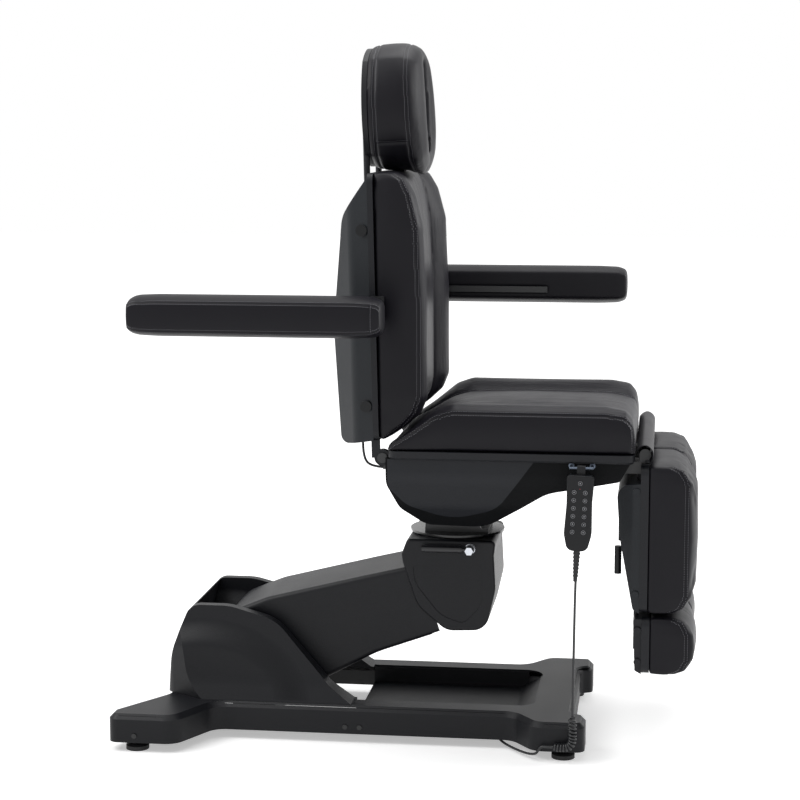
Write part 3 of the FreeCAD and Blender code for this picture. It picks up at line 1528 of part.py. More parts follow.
def armrest_flange(side):
    """The plate that bolts an armrest's shaft to the edge of the backrest's board."""
    near = S.back_half - S.skin
    far = S.back_half + S.play / 2
    height = S.tilt_radius * 2.2
    parts = []
    spans = ((1.30, 0.55, near, far), (1.30, -1.20, far - S.play / 2, far + S.skin))
    for rear_share, front_share, low, high in spans:
        y0, y1 = (low, high) if side > 0 else (-high, -low)
        parts.append(block(S.arm_pivot_x - S.tilt_radius * rear_share, S.arm_pivot_x - S.tilt_radius * front_share,
                           y0, y1, S.arm_pivot_z - height, S.arm_pivot_z + height))
    return parts


REST_STATION_SHARES = ((0.0, 0.70), (0.012, 0.86), (0.04, 0.96), (0.12, 1.0), (0.5, 1.0), (0.88, 1.0), (0.96, 0.96),
                       (0.988, 0.86), (1.0, 0.70))


def armrest_form(tail, tip, side, middle_z):
    """A long cushion, rounded at both ends and crowned, with a flat inner side."""
    half_height = S.rest_thick.value / 2
    half_width = S.rest_width.value / 2
    middle_y = (S.rest_inner.value + half_width) * side
    wires = []
    for along, share in REST_STATION_SHARES:
        x = tail + (tip - tail) * along
        high = half_height * share
        wide = half_width * (0.75 + share * 0.25) * side
        seam = high * 0.70
        outer_high = Vector(x, middle_y + wide * 0.96, middle_z + seam)
        outer_low = Vector(x, middle_y + wide * 0.96, middle_z - seam)
        inner_low = Vector(x, middle_y - wide, middle_z - seam)
        inner_high = Vector(x, middle_y - wide, middle_z + seam)
        wires.append(Part.Wire([
            arc_edge(inner_high, Vector(x, middle_y, middle_z + high), outer_high),
            arc_edge(outer_high, Vector(x, middle_y + wide, middle_z), outer_low),
            arc_edge(outer_low, Vector(x, middle_y, middle_z - high), inner_low),
            Part.LineSegment(inner_low, inner_high).toShape(),
        ]))
    return lofted(wires)


# Leg rests and foot rests


def leg_middle(side):
    return (S.leg_gap / 2 + S.leg_half_width) * side


PAD_STATION_SHARES = ((0.0, 0.55, 0.96), (0.25, 0.80, 0.985), (1.0, 0.97, 1.0))


def crowned_pad(low, high, side, rear, front):
    """An upright pad of a leg rest: flat behind, crowned in front, drawn in at its ends."""
    middle = leg_middle(side).value
    half = S.leg_half_width.value
    run = high - low
    edge = (front - rear) * 0.35 / run
    lower = [(edge * a, b, c) for a, b, c in PAD_STATION_SHARES]
    upper = [(1 - a, b, c) for a, b, c in reversed(lower)]
    wires = []
    for along, depth_share, half_share in lower + [(0.5, 1.0, 1.0)] + upper:
        z = low + run * along
        wires.append(pad_section(lambda a, u, z=z: Vector(u, middle + a, z), half * half_share, rear,
                                 rear + (front - rear) * depth_share, S.seat_swell.value * 0.5))
    return lofted(wires)


LEG_SHELL_SHARES = ((0.00, 0.86, 0.10), (0.16, 0.50, 0.60), (0.74, 0.02, 0.04), (1.00, 0.00), (1.00, 0.88))


def leg_shell_form(side, wall):
    """The tapering moulding behind a leg pad, drawn in by a wall."""
    rear = S.leg_shell_rear + wall
    depth = S.leg_board_rear - S.leg_shell_rear if not number(wall) else S.leg_board_rear - rear + S.overrun
    height = S.leg_top - S.leg_base - wall * 2
    profile = pad("XZ_Plane", spread(rear, S.leg_base + wall, depth, height, LEG_SHELL_SHARES), S.leg_half_width * 2,
                  leg_middle(side))
    width = S.leg_half_width
    half = [
        (S.leg_shell_rear - S.overrun, width * 0.72 - wall),
        (S.leg_shell_rear + depth * 0.7, width * 0.94 - wall, S.wing_round),
        (S.leg_board_rear + S.overrun, width * 0.96 - wall),
    ]
    middle = leg_middle(side)
    corners = [(corner[0], middle + corner[1], *corner[2:]) for corner in half]
    corners += [(corner[0], middle - corner[1], *corner[2:]) for corner in reversed(half)]
    plan = pad("XY_Plane", corners, S.leg_top, (S.leg_base + S.leg_top) / 2)
    return common(profile, plan)


def leg_rails(side, radius):
    """The two rods that a foot rest slides on, or the bores for them."""
    x = S.leg_board_rear - S.foot_rail_radius - S.play / 2
    bottom = S.foot_base + (S.foot_top - S.foot_base) * 0.35
    top = S.foot_top + S.foot_rail_length
    return [rod("Z", (x, leg_middle(side) + S.leg_half_width * 0.55 * edge, (top + bottom) / 2), radius, top - bottom)
            for edge in (1, -1)]


def leg_strap_places(side):
    """Middles of the two straps that carry a leg's board on the hinge rod."""
    return [leg_middle(side) + S.leg_half_width * share for share in (0.35, -0.35)]


def leg_lever_place(side):
    x = S.leg_shell_rear + (S.leg_board_rear - S.leg_shell_rear) * 0.55
    return x, leg_middle(side) + S.leg_half_width * 0.35 * side, S.leg_lever_z


def make_leg(label, side):
    """One leg rest: a board with its hinge eyes, rail guides and lever pin, a shell and a pad."""
    middle = leg_middle(side)
    half = S.leg_half_width
    eye = S.hinge_radius * 1.1
    front = S.leg_board_front
    rear = S.leg_board_rear
    parts = [pad("YZ_Plane", box_corners(middle - half + S.skin, middle + half - S.skin, S.leg_base, S.leg_top,
                                         S.wing_round), front - rear, (front + rear) / 2)]
    for y in leg_strap_places(side):
        parts.append(block(rear - S.foot_plate, rear, y - half * 0.12, y + half * 0.12,
                           S.leg_top - S.frame_tube * 1.6, S.leg_hinge_z))
        parts.append(rod("Y", (S.leg_hinge_x, y, S.leg_hinge_z), eye, half * 0.24))
    for edge in (1, -1):
        y = middle + half * 0.55 * edge
        guide = S.foot_rail_radius * 1.6
        parts.append(block(rear - guide * 1.6, rear, y - guide, y + guide, S.leg_base + S.frame_tube * 1.5,
                           S.leg_base + S.frame_tube * 2.6))
    pin_x, pin_y, pin_z = leg_lever_place(side)
    pin_radius = S.lever_radius * 0.5
    for edge in (1, -1):
        y = pin_y + S.lever_radius * 1.3 * edge
        parts.append(block(pin_x - pin_radius * 1.6, rear, y - S.skin / 2, y + S.skin / 2, pin_z - pin_radius * 1.6,
                           pin_z + pin_radius * 1.6))
    bore = rod("Y", (S.leg_hinge_x, middle, S.leg_hinge_z), S.hinge_radius * 0.7 + S.running_fit, half * 2)
    rails = leg_rails(side, S.foot_rail_radius + S.running_fit)
    lug_half = S.tilt_cheek / 2 + S.play
    lug_y = leg_hinge_places()[0] * side
    rails.append(block(rear - S.overrun, front + S.overrun, lug_y - lug_half, lug_y + lug_half,
                       S.rim_base - S.frame_tube - S.play, S.leg_top + S.overrun))
    pin = rod("Y", (pin_x, pin_y, pin_z), pin_radius, S.lever_radius * 2.6 + S.skin)
    keep(fuse(cut(fuse(*parts), bore, *rails), pin), f"leg_{label}_board")
    shell = cut(leg_shell_form(side, ZERO), leg_shell_form(side, S.skin))
    slots = leg_rails(side, S.foot_rail_radius + S.play)
    for y in leg_strap_places(side):
        slots.append(block(rear - S.foot_plate - S.play, rear + S.overrun, y - half * 0.12 - S.play,
                           y + half * 0.12 + S.play, S.leg_top - S.frame_tube * 1.8, S.leg_top + S.overrun))
    slots.append(block(S.leg_shell_rear - S.overrun, pin_x, pin_y - S.lever_radius - S.play,
                       pin_y + S.lever_radius + S.play, pin_z - S.leg_lever_length * 0.35,
                       pin_z + S.lever_radius * 1.6))
    knobs = []
    for share in (0.13, 0.83):
        z = S.leg_base + (S.leg_top - S.leg_base) * share
        for edge in (1, -1):
            y = middle + (half * 0.93 + S.knob_height / 2) * edge
            knobs.append(rod("Y", (rear - S.knob_radius * 0.7, y, z), S.knob_radius * 0.6, S.knob_height))
    keep(fuse(cut(shell, *slots), *knobs), f"leg_{label}_shell")
    keep(crowned_pad(S.leg_base.value, S.leg_top.value, side, front.value, S.leg_pad_front.value), f"leg_{label}_pad")


def make_foot(label, side):
    """The sliding foot rest: a casing on two rails, and its pad."""
    middle = leg_middle(side)
    half = S.leg_half_width
    rear = S.leg_board_rear + S.foot_offset
    front = S.leg_board_front + S.foot_offset
    height = S.foot_top - S.foot_base
    board = pad("YZ_Plane", box_corners(middle - half + S.skin, middle + half - S.skin, S.foot_base, S.foot_top,
                                        S.wing_round), front - rear, (front + rear) / 2)
    depth = S.foot_offset + S.knob_radius
    corners = spread(rear - depth, S.foot_base, depth, height,
                     ((0.0, 0.97, 0.03), (0.25, 0.06, 0.03), (1.0, 0.0), (1.0, 0.97)))
    shell = pad("XZ_Plane", corners, half * 1.86, middle)
    knobs = []
    for share in (0.22, 0.78):
        for edge in (1, -1):
            y = middle + (half * 0.93 + S.knob_height / 2) * edge
            knobs.append(rod("Y", (rear - S.knob_radius * 0.7, y, S.foot_base + height * share), S.knob_radius * 0.6,
                             S.knob_height))
    keep(fuse(board, shell, *leg_rails(side, S.foot_rail_radius), *knobs), f"foot_{label}_casing")
    keep(crowned_pad(S.foot_base.value, S.foot_top.value, side, front.value, S.foot_pad_front.value),
         f"foot_{label}_pad")


def make_leg_lever(label, side):
    """The release lever behind a leg: an eye on its pin and a grip that hangs down."""
    x, y, z = leg_lever_place(side)
    radius = S.lever_radius
    reach = radius * 3.2
    hub = rod("Y", (x, y, z), radius, radius * 1.6)
    arm = block(x - reach, x, y - radius * 0.6, y + radius * 0.6, z - radius * 0.7, z + radius * 0.7)
    grip = rod("Z", (x - reach, y, z + radius * 0.7 - S.leg_lever_length / 2), radius, S.leg_lever_length)
    bore = rod("Y", (x, y, z), radius * 0.5 + S.running_fit, radius * 3)
    keep(cut(fuse(hub, arm, grip), bore), f"leg_{label}_lever")


def make_legs():
    for label, side in (("left", 1), ("right", -1)):
        make_leg(label, side)
        make_foot(label, side)
        make_leg_lever(label, side)


def make_gap_flap():
    """The leathercloth flap that hides the gap between the seat and the legs."""
    x = S.leg_hinge_x
    z = S.leg_hinge_z
    outer = S.flap_radius
    inner = S.flap_radius - S.flap_wall
    rear = S.seat_front + S.skin * 2 + S.clearance
    rise = z + outer * 1.55
    profile = [
        (rear, z + outer * 0.75),
        (rear, z + inner * 0.55),
        (rear + S.flap_wall, z + inner * 0.55),
        (rear + S.flap_wall, z + outer * 0.8, S.flap_wall),
        (x - outer * 0.1, rise - S.flap_wall, outer * 0.35),
        (x + inner * 0.94, z + outer * 0.9, outer * 0.3),
        (x + inner * 0.98, z - inner * 0.1, outer * 0.6),
        (x + inner * 0.55, z - inner * 0.80),
        (x + outer * 0.58, z - outer * 0.82),
        (x + outer, z - outer * 0.1, outer * 0.7),
        (x + outer * 0.98, z + outer * 1.0, outer * 0.4),
        (x - outer * 0.1, rise, outer * 0.5),
        (rear, z + outer * 0.95, S.flap_wall),
    ]
    flap = pad("XZ_Plane", profile, S.seat_half * 1.9)
    slits = []
    for side in (1, -1):
        for y in leg_strap_places(side):
            reach = S.leg_half_width * 0.12 + S.play
            slits.append(block(x, x + outer + S.overrun, y - reach, y + reach, z - outer * 1.3, z - outer * 0.3))
    keep(cut(flap, *slits), "gap_flap")


# Handset with its hook and cord


def hung(item):
    """Turns a finished piece of the handset by its lean, about the hook's bar."""
    turned = doc.addObject("Part::Compound", "Hung")
    turned.Links = [item]
    centre = Vector(S.handset_x.value, 0, S.hook_z.value)
    turned.Placement = Placement(Vector(), Rotation(Vector(0, 1, 0), S.handset_lean.value), centre)
    return turned


HANDSET_SHARES = ((-0.50, 1.00, 0.05), (-0.455, 0.62, 0.60), (-0.50, 0.22, 0.30), (-0.36, 0.0, 0.10), (0.36, 0.0, 0.10),
                  (0.50, 0.22, 0.30), (0.455, 0.62, 0.60), (0.50, 1.00, 0.05))


def make_handset():
    """The remote control: a waisted case with its hook, round keys and a ribbed strain relief."""
    x = S.handset_x
    top = S.handset_top
    wide = S.handset_width
    tall = S.handset_length
    face = S.handset_y - S.handset_thick / 2
    case = pad("XZ_Plane", spread(x, top - tall, wide, tall, HANDSET_SHARES), S.handset_thick,
               S.handset_y)
    half = (S.handset_thick / 2).value
    middle = S.handset_y.value

    def rim(point):
        return abs(abs(point.y - middle) - half) < 0.01

    soften(case, "Fillet", S.handset_thick * 0.14, rim)
    outer = S.hook_bar_radius * 2.2
    width = S.handset_width * 0.3
    loop = rod("X", (x, S.hook_y, S.hook_z), outer, width)
    strap = block(x - width / 2, x + width / 2, S.hook_y - outer, S.hook_y, top - S.skin, S.hook_z)
    bore = rod("X", (x, S.hook_y, S.hook_z), S.hook_bar_radius + S.hook_fit, width * 2)
    mouth = block(x - width, x + width, S.hook_y - S.hook_bar_radius - S.hook_fit, S.hook_y + outer * 2,
                  S.hook_z - outer * 2, S.hook_z)
    hook = cut(fuse(loop, strap), bore, cut(mouth, block(x - width * 2, x + width * 2, S.hook_y - outer * 3,
                                                         S.hook_y + outer * 3, top - tall, top)))
    keep(hung(fuse(case, hook)), "handset_case")
    keys = [rod("Y", (x, face - S.key_height / 2, top - tall * 0.10), S.key_radius, S.key_height)]
    for row_share in (0.22, 0.325, 0.43, 0.535, 0.64, 0.745):
        for edge in (1, -1):
            place = (x + wide * 0.2 * edge, face - S.key_height / 2, top - tall * row_share)
            keys.append(rod("Y", place, S.key_radius, S.key_height))
    keep(hung(group(*keys)), "handset_keys")
    low = top - tall
    taper = rod("Z", (x, S.handset_y, low - S.relief_length / 2), S.cord_radius * 1.5, S.relief_length,
                S.cord_radius * 2.5)
    ribs = []
    for share in (0.10, 0.22, 0.34, 0.46, 0.58, 0.70, 0.82):
        ribs.append(rod("Z", (x, S.handset_y, low - S.relief_length * share), S.cord_radius * (2.85 - share),
                        S.relief_length * 0.05))
    keep(hung(fuse(taper, *ribs)), "handset_strain_relief")


def make_hook_bar():
    """The bent bar that the handset hangs on, with a socket at each end."""
    parts = []
    inner = -S.belly_half - S.clearance
    for edge in (1, -1):
        x = S.handset_x + S.handset_width * 0.38 * edge
        parts.append(rod("Y", (x, (S.hook_y + inner) / 2, S.hook_z), S.hook_bar_radius, inner - S.hook_y))
        parts.append(rod("Y", (x, inner - S.overrun, S.hook_z), S.hook_bar_radius * 2, S.overrun * 2))
    length = S.handset_width * 0.76 + S.hook_bar_radius * 2
    parts.append(rod("X", (S.handset_x, S.hook_y, S.hook_z), S.hook_bar_radius, length))
    keep(fuse(*parts), "handset_hook_bar")


def bent_path(points):
    """Straight runs joined by tangent arcs, each arc as large as its two runs allow."""
    edges = []
    radii = []
    here = points[0]
    for before, corner, after in zip(points, points[1:], points[2:]):
        back = Vector(before - corner).normalize()
        ahead = Vector(after - corner).normalize()
        turn = math.pi - back.getAngle(ahead)
        reach = 0.45 * min((before - corner).Length, (after - corner).Length)
        radius = reach / math.tan(turn / 2)
        start = corner + back * reach
        end = corner + ahead * reach
        centre = corner + (back + ahead).normalize() * (radius / math.cos(turn / 2))
        through = centre + (corner - centre).normalize() * radius
        edges.append(Part.LineSegment(here, start).toShape())
        edges.append(arc_edge(start, through, end))
        radii.append(round(radius, 1))
        here = end
    edges.append(Part.LineSegment(here, points[-1]).toShape())
    print("cord bend radii", radii)
    return Part.Wire(edges)


def tube(path, place, ahead, radius, label):
    """A round tube along a path, compared with its section times its length."""
    section = Part.Wire([Part.makeCircle(radius, place, ahead)])
    shape = path.makePipeShell([section], True, False)
    print(label, "volume", round(shape.Volume), "section times length", round(math.pi * radius ** 2 * path.Length))
    return keep(solid_piece(shape), label)


def relief_end():
    """Where the handset's strain relief ends, and the way it points."""
    lean = math.radians(S.handset_lean.value)
    drop = (S.hook_z - S.handset_top + S.handset_length + S.relief_length).value
    side = (S.handset_y - ZERO).value
    place = Vector(S.handset_x.value - drop * math.sin(lean), side, S.hook_z.value - drop * math.cos(lean))
    return place, Vector(-math.sin(lean), 0, -math.cos(lean))


def coil_axis(along):
    """A place on the coil's middle line, and the way the line runs there: down, then along the wing."""
    drop = S.coil_drop.value
    bend = S.coil_bend.value
    drift = math.radians(6)
    flat = Vector(-math.cos(drift), math.sin(drift), 0)
    down = Vector(0, 0, -1)
    place = Vector(S.coil_x.value, S.handset_y.value, S.coil_top.value)
    if along <= drop:
        return place + down * along, down
    quarter = bend * math.pi / 2
    if along <= drop + quarter:
        angle = (along - drop) / bend
        turn = flat * (bend * (1 - math.cos(angle))) + down * (bend * math.sin(angle))
        return place + down * drop + turn, down * math.cos(angle) + flat * math.sin(angle)
    rest = along - drop - quarter
    return place + down * (drop + bend) + flat * (bend + rest), flat


def coil_place(along, angle):
    """A place on the wire of the coil."""
    total = coil_length()
    lead = S.coil_pitch.value
    straight = S.cord_radius.value * 2
    centre, ahead = coil_axis(along)
    near = max(0.0, min(along, total - along) - straight)
    share = min(1.0, near / lead)
    radius = (S.coil_radius - S.cord_radius).value * share * share * (3 - 2 * share)
    side = Vector(0, 1, 0)
    out = ahead.cross(side).normalize()
    side = out.cross(ahead).normalize()
    return centre + out * (radius * math.cos(angle)) + side * (radius * math.sin(angle))


def coil_length():
    return (S.coil_drop + S.coil_run).value + S.coil_bend.value * math.pi / 2


def coil_steps():
    """Places along the wire, several to a turn, tighter where the coil lies along the wing."""
    per_turn = 4
    total = coil_length()
    flat_start = S.coil_drop.value + S.coil_bend.value * math.pi / 2
    steps = []
    along = 0.0
    angle = 0.0
    straight = S.cord_radius.value * 2
    while along < total:
        steps.append((along, angle))
        pitch = S.coil_pitch.value if along < flat_start else S.coil_end_pitch.value
        if along < straight:
            along = straight
        else:
            along += pitch / per_turn
            angle += 2 * math.pi / per_turn
        if along > total - straight:
            break
    steps.append((total - straight, angle))
    steps.append((total, angle))
    return steps


def biarc(p0, t0, p1, t1):
    """Two tangent arcs from one place and direction to another."""
    chord = p1 - p0
    both = t0 + t1
    bend = 2 * (1 - t0.dot(t1))
    slope = chord.dot(both)
    if bend < 1e-9:
        reach = chord.dot(chord) / (2 * slope)
    else:
        reach = (-slope + math.sqrt(slope * slope + bend * chord.dot(chord))) / bend
    first = p0 + t0 * reach
    second = p1 - t1 * reach
    joint = (first + second) * 0.5
    return [half_arc(p0, first, joint), half_arc(joint, second, p1)]


def half_arc(start, control, end):
    middle = (start + end) * 0.5
    lift = control - middle
    if lift.Length < 1e-6:
        return Part.LineSegment(start, end).toShape()
    half = (end - start).Length / 2
    reach = (control - start).Length
    radius = reach * half / lift.Length
    sagitta = radius - math.sqrt(max(radius * radius - half * half, 0.0))
    return arc_edge(start, middle + Vector(lift).normalize() * sagitta, end)


def make_cord_coil():
    """The curly part of the handset's cord, one unbroken tube."""
    steps = coil_steps()
    places = [coil_place(along, angle) for along, angle in steps]
    heads = []
    for index, (along, angle) in enumerate(steps):
        if index < 2:
            heads.append(coil_axis(0)[1])
        elif index > len(steps) - 3:
            heads.append(coil_axis(coil_length())[1])
        else:
            heads.append((places[index + 1] - places[index - 1]).normalize())
    edges = []
    for index in range(len(places) - 1):
        edges.extend(biarc(places[index], heads[index], places[index + 1], heads[index + 1]))
    report_gap(edges)
    return tube(Part.Wire(edges), places[0], heads[0], S.cord_radius.value, "cord_coil"), places[-1], heads[-1]


def report_gap(edges):
    """Prints the coil's least gap to itself, measured on points of its middle line."""
    points = []
    for edge in edges:
        points.extend(edge.discretize(4)[:-1])
    lengths = [0.0]
    for here, after in zip(points, points[1:]):
        lengths.append(lengths[-1] + (after - here).Length)
    least = 1e9
    skip = S.coil_radius.value * 2
    for i, here in enumerate(points):
        for j in range(i + 4, len(points)):
            if lengths[j] - lengths[i] > skip:
                least = min(least, (points[j] - here).Length)
    print("cord_coil least gap to itself", round(least - S.cord_radius.value * 2, 2))


def make_cords():
    """The handset's cord: straight, curly, and its tail under the base to a gland on the chassis."""
    radius = S.cord_radius.value
    start, ahead = relief_end()
    top = Vector(S.coil_x.value, S.handset_y.value, S.coil_top.value)
    lead = (start.z - top.z) * 0.15
    knee = start + ahead * lead
    path = bent_path([start, Vector(top.x, top.y, knee.z), top])
    tube(path, start, path.OrderedEdges[0].tangentAt(path.OrderedEdges[0].FirstParameter), radius, "cord_straight")
    coil, end, heading = make_cord_coil()
    low = S.foot_height.value * 0.4
    gland = Vector(S.gland_x.value, -S.beam_middle.value, (S.foot_height + S.beam_rise).value)
    tip = gland - Vector(0, 0, S.foot_height.value * 0.4)
    points = [
        end,
        end + heading * 12,
        Vector(291, -283, low + 1),
        Vector(gland.x, gland.y, low),
        tip,
    ]
    tail = bent_path(points)
    tube(tail, end, heading, radius, "cord_tail")
    length = (gland - tip).Length
    boss = rod("Z", (S.gland_x, -S.beam_middle, S.foot_height + S.beam_rise - length / 2), S.cord_radius * 2.2, length)
    keep(boss, "cord_gland")


def make_back_cable():
    """The cable that runs from the backrest's shell into the seat's hull."""
    low = (S.cable_z + S.frame_tube * 2).value
    x = S.cable_x.value
    y = S.cable_y.value
    z = S.cable_z.value
    end = (S.belly_rear - S.skin - S.skin * 1.2).value
    run = low - z
    points = [Vector(x, y, low), Vector(x, y, z + run * 0.36), Vector(x + run * 0.36, y, z), Vector(end, y, z)]
    path = bent_path(points)
    tube(path, points[0], Vector(0, 0, -1), S.cord_radius.value, "back_cable")


def build():
    make_base_covers()
    make_tray()
    make_base_frame()
    make_feet()
    make_base_screws()
    make_arm_housing()
    make_rear_shaft()
    make_arm_covers()
    make_arm_beam()
    make_link_bar()
    make_knuckle_frame()
    make_knuckle_covers()
    make_turntable()
    make_swivel_lock()
    make_seat_frame()
    make_belly()
    make_seat_rim()
    make_seat_cushion()
    make_gap_flap()
    make_back_board()
    make_back_shell()
    make_back_knobs()
    make_back_cushion()
    make_headrest()
    make_armrests()
    make_legs()
    make_handset()
    make_hook_bar()
    make_cords()
    make_back_cable()


def check_and_export():
    """Writes one file for each piece, once the whole document and every shape are sound."""
    doc.recompute()
    for item in doc.Objects:
        if "Invalid" in item.State or "Error" in item.State:
            raise ValueError(f"{item.Label} did not build: {item.State}")
    for item in KEPT:
        if item.Shape.isNull() or not item.Shape.isValid():
            raise ValueError(f"{item.Label} has no sound shape")
    os.makedirs("parts", exist_ok=True)
    for item in KEPT:
        item.Shape.exportStep(f"parts/{item.Label}.step")
    print(len(KEPT), "pieces")


build()
check_and_export()
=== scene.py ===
import bpy
import math
from mathutils import Matrix, Vector
from mathutils.bvhtree import BVHTree
from mathutils.kdtree import KDTree


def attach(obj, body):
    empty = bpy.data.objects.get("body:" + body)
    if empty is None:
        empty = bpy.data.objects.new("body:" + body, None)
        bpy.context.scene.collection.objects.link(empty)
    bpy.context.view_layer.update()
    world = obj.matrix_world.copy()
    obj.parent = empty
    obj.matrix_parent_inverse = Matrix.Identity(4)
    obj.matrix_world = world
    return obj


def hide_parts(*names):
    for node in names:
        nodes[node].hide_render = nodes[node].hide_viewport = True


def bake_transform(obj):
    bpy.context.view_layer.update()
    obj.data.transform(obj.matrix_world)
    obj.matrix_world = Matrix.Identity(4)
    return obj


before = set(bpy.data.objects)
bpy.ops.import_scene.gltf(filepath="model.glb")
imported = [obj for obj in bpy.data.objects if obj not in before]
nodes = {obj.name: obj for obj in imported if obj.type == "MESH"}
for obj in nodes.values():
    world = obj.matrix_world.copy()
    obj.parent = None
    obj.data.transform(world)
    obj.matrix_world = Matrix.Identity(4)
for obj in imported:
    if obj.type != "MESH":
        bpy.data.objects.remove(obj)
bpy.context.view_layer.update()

# ---- Camera -------------------------------------------------------------------------------
# A long lens a few metres off, square to the chair's right side, a little forward of it and
# a little above the seat, as the picture was taken.
VIEW_TURN = math.radians(7.49)
VIEW_RISE = math.radians(7.74)
VIEW_DISTANCE = 4.543
VIEW_TARGET = Vector((-0.0341, 0.0, 0.7327))
LENS_MM = 91.33
SENSOR_MM = 36.0

backward = Vector((math.sin(VIEW_TURN) * math.cos(VIEW_RISE),
                   -math.cos(VIEW_TURN) * math.cos(VIEW_RISE),
                   math.sin(VIEW_RISE)))
bpy.ops.object.select_all(action="DESELECT")
bpy.ops.object.camera_add(location=VIEW_TARGET + backward * VIEW_DISTANCE,
                          rotation=(-backward).to_track_quat("-Z", "Y").to_euler())
camera = bpy.context.object
camera.name = "camera"
camera.data.lens = LENS_MM
camera.data.sensor_width = SENSOR_MM
bpy.context.scene.camera = camera


# ---- Handset cord -------------------------------------------------------------------------
# Black rubber-sheathed cord: straight from the handset down past the base's wing, then a tight
# curly length that turns in under the wing, and a short plain end into the chassis.
def linear(colour):
    """A #rrggbb colour as the four linear numbers that a shader takes."""
    parts = [int(colour[i:i + 2], 16) / 255 for i in (1, 3, 5)]
    return [p / 12.92 if p <= 0.04045 else ((p + 0.055) / 1.055) ** 2.4 for p in parts] + [1.0]


def material(name, colour, roughness, metallic=0.0, **sockets):
    """A new material with its shader's plain sockets set."""
    made = bpy.data.materials.new(name)
    made.use_nodes = True
    shader = made.node_tree.nodes["Principled BSDF"]
    shader.inputs["Base Color"].default_value = linear(colour)
    shader.inputs["Roughness"].default_value = roughness
    shader.inputs["Metallic"].default_value = metallic
    for socket, value in sockets.items():
        shader.inputs[socket.replace("_", " ")].default_value = value
    made.diffuse_color = linear(colour)
    return made


def add(made, kind, settings=None, **inputs):
    """Adds one node to a material; an input given as a socket is linked, any other is set."""
    node = made.node_tree.nodes.new("ShaderNode" + kind)
    for key, value in (settings or {}).items():
        setattr(node, key, value)
    for key, value in inputs.items():
        socket = node.inputs[int(key[1:])] if key[0] == "_" else node.inputs[key.replace("_", " ")]
        if isinstance(value, bpy.types.NodeSocket):
            made.node_tree.links.new(value, socket)
        else:
            socket.default_value = value
    return node


def feed(made, socket, source):
    made.node_tree.links.new(source, made.node_tree.nodes["Principled BSDF"].inputs[socket])


def rubber(name, colour, roughness):
    """Moulded rubber or soft PVC: matt, with a faint mottle of 2.4 mm from the mould."""
    made = material(name, colour, roughness)
    place = add(made, "TexCoord").outputs["Object"]
    mottle = add(made, "TexNoise", Vector=place, Scale=420.0, Detail=3.0)
    bump = add(made, "Bump", Strength=0.15, Distance=0.0003, Height=mottle.outputs["Fac"])
    feed(made, "Normal", bump.outputs["Normal"])
    shade = add(made, "MapRange", Value=mottle.outputs["Fac"],
                To_Min=roughness - 0.05, To_Max=roughness + 0.08)
    feed(made, "Roughness", shade.outputs["Result"])
    return made


def dress(name, made):
    """Gives a solid of the structure its finish."""
    slots = nodes[name].data.materials
    slots.clear()
    slots.append(made)


cord_rubber = rubber("soft_pvc_cord_black", "#1b1c1f", 0.34)
CORD_DIAMETER = 0.0055


def smooth_spline(data, route):
    """Puts a smooth line into curve data, with the route's points as its control points."""
    data.dimensions = "3D"
    spline = data.splines.new("NURBS")
    spline.points.add(len(route) - 1)
    for point, place in zip(spline.points, route):
        point.co = (*place, 1.0)
    spline.order_u = 3
    spline.use_endpoint_u = True


def placed(name, data):
    """A new object of the scene for a mesh or a curve."""
    piece = bpy.data.objects.new(name, data)
    bpy.context.collection.objects.link(piece)
    return piece


def cord_curve(name, route, node, body):
    """A round cord along the smooth line of a route."""
    data = bpy.data.curves.new(name, "CURVE")
    smooth_spline(data, route)
    data.bevel_depth = CORD_DIAMETER / 2
    data.bevel_resolution = 3
    data.resolution_u = 8
    data.use_fill_caps = True
    piece = placed(name, data)
    data.materials.append(cord_rubber)
    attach(piece, body)
    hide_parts(node)
    return piece


# The relief's end, a knee a little below it, and the top of the curly length
straight_route = [(0.3751, -0.292, 0.3963), (0.3733, -0.292, 0.3537), (0.372, -0.292, 0.112)]
straight_cord = cord_curve("handset_cord_straight", straight_route, "cord_straight", "handset")

# The curly length's middle line, then the plain end under the wing up into the chassis
curl_route = [(0.372, -0.292, 0.112), (0.372, -0.292, 0.076), (0.372, -0.292, 0.036),
              (0.338, -0.2884, 0.034), (0.3163, -0.2861, 0.034), (0.3041, -0.2848, 0.034),
              (0.291, -0.283, 0.009), (0.205, -0.176, 0.008), (0.205, -0.176, 0.022)]
CURL_RADIUS = 0.00675
CURL_LENGTH = 0.118
CURL_HANGING = 0.05  # of which this much hangs, at the wider pitch
CURL_PITCH = 0.0078
CURL_END_PITCH = 0.0064
CURL_POINTS = 12  # control points for each turn
CURL_EASE = 0.0086  # the length over which the curls open at each end
CURL_LEAD = 0.002  # how far before that the winding starts
PLAIN_FROM = 4  # the route's first point that the plain end has


def line_of(route):
    """The points of a smooth line through a route, as the finished spline has them."""
    data = bpy.data.curves.new("line", "CURVE")
    smooth_spline(data, route)
    data.resolution_u = 24
    carrier = bpy.data.objects.new("line", data)
    read = bpy.data.meshes.new_from_object(carrier)
    points = [v.co.copy() for v in read.vertices]
    bpy.data.objects.remove(carrier)
    bpy.data.meshes.remove(read)
    return points


def walk(points, step):
    """Places at even steps along a line, each with the way that the line runs there."""
    places = []
    left = 0.0
    for here, there in zip(points, points[1:]):
        run = (there - here).length
        while left < run:
            places.append((here.lerp(there, left / run), (there - here).normalized()))
            left += step
        left -= run
    return places


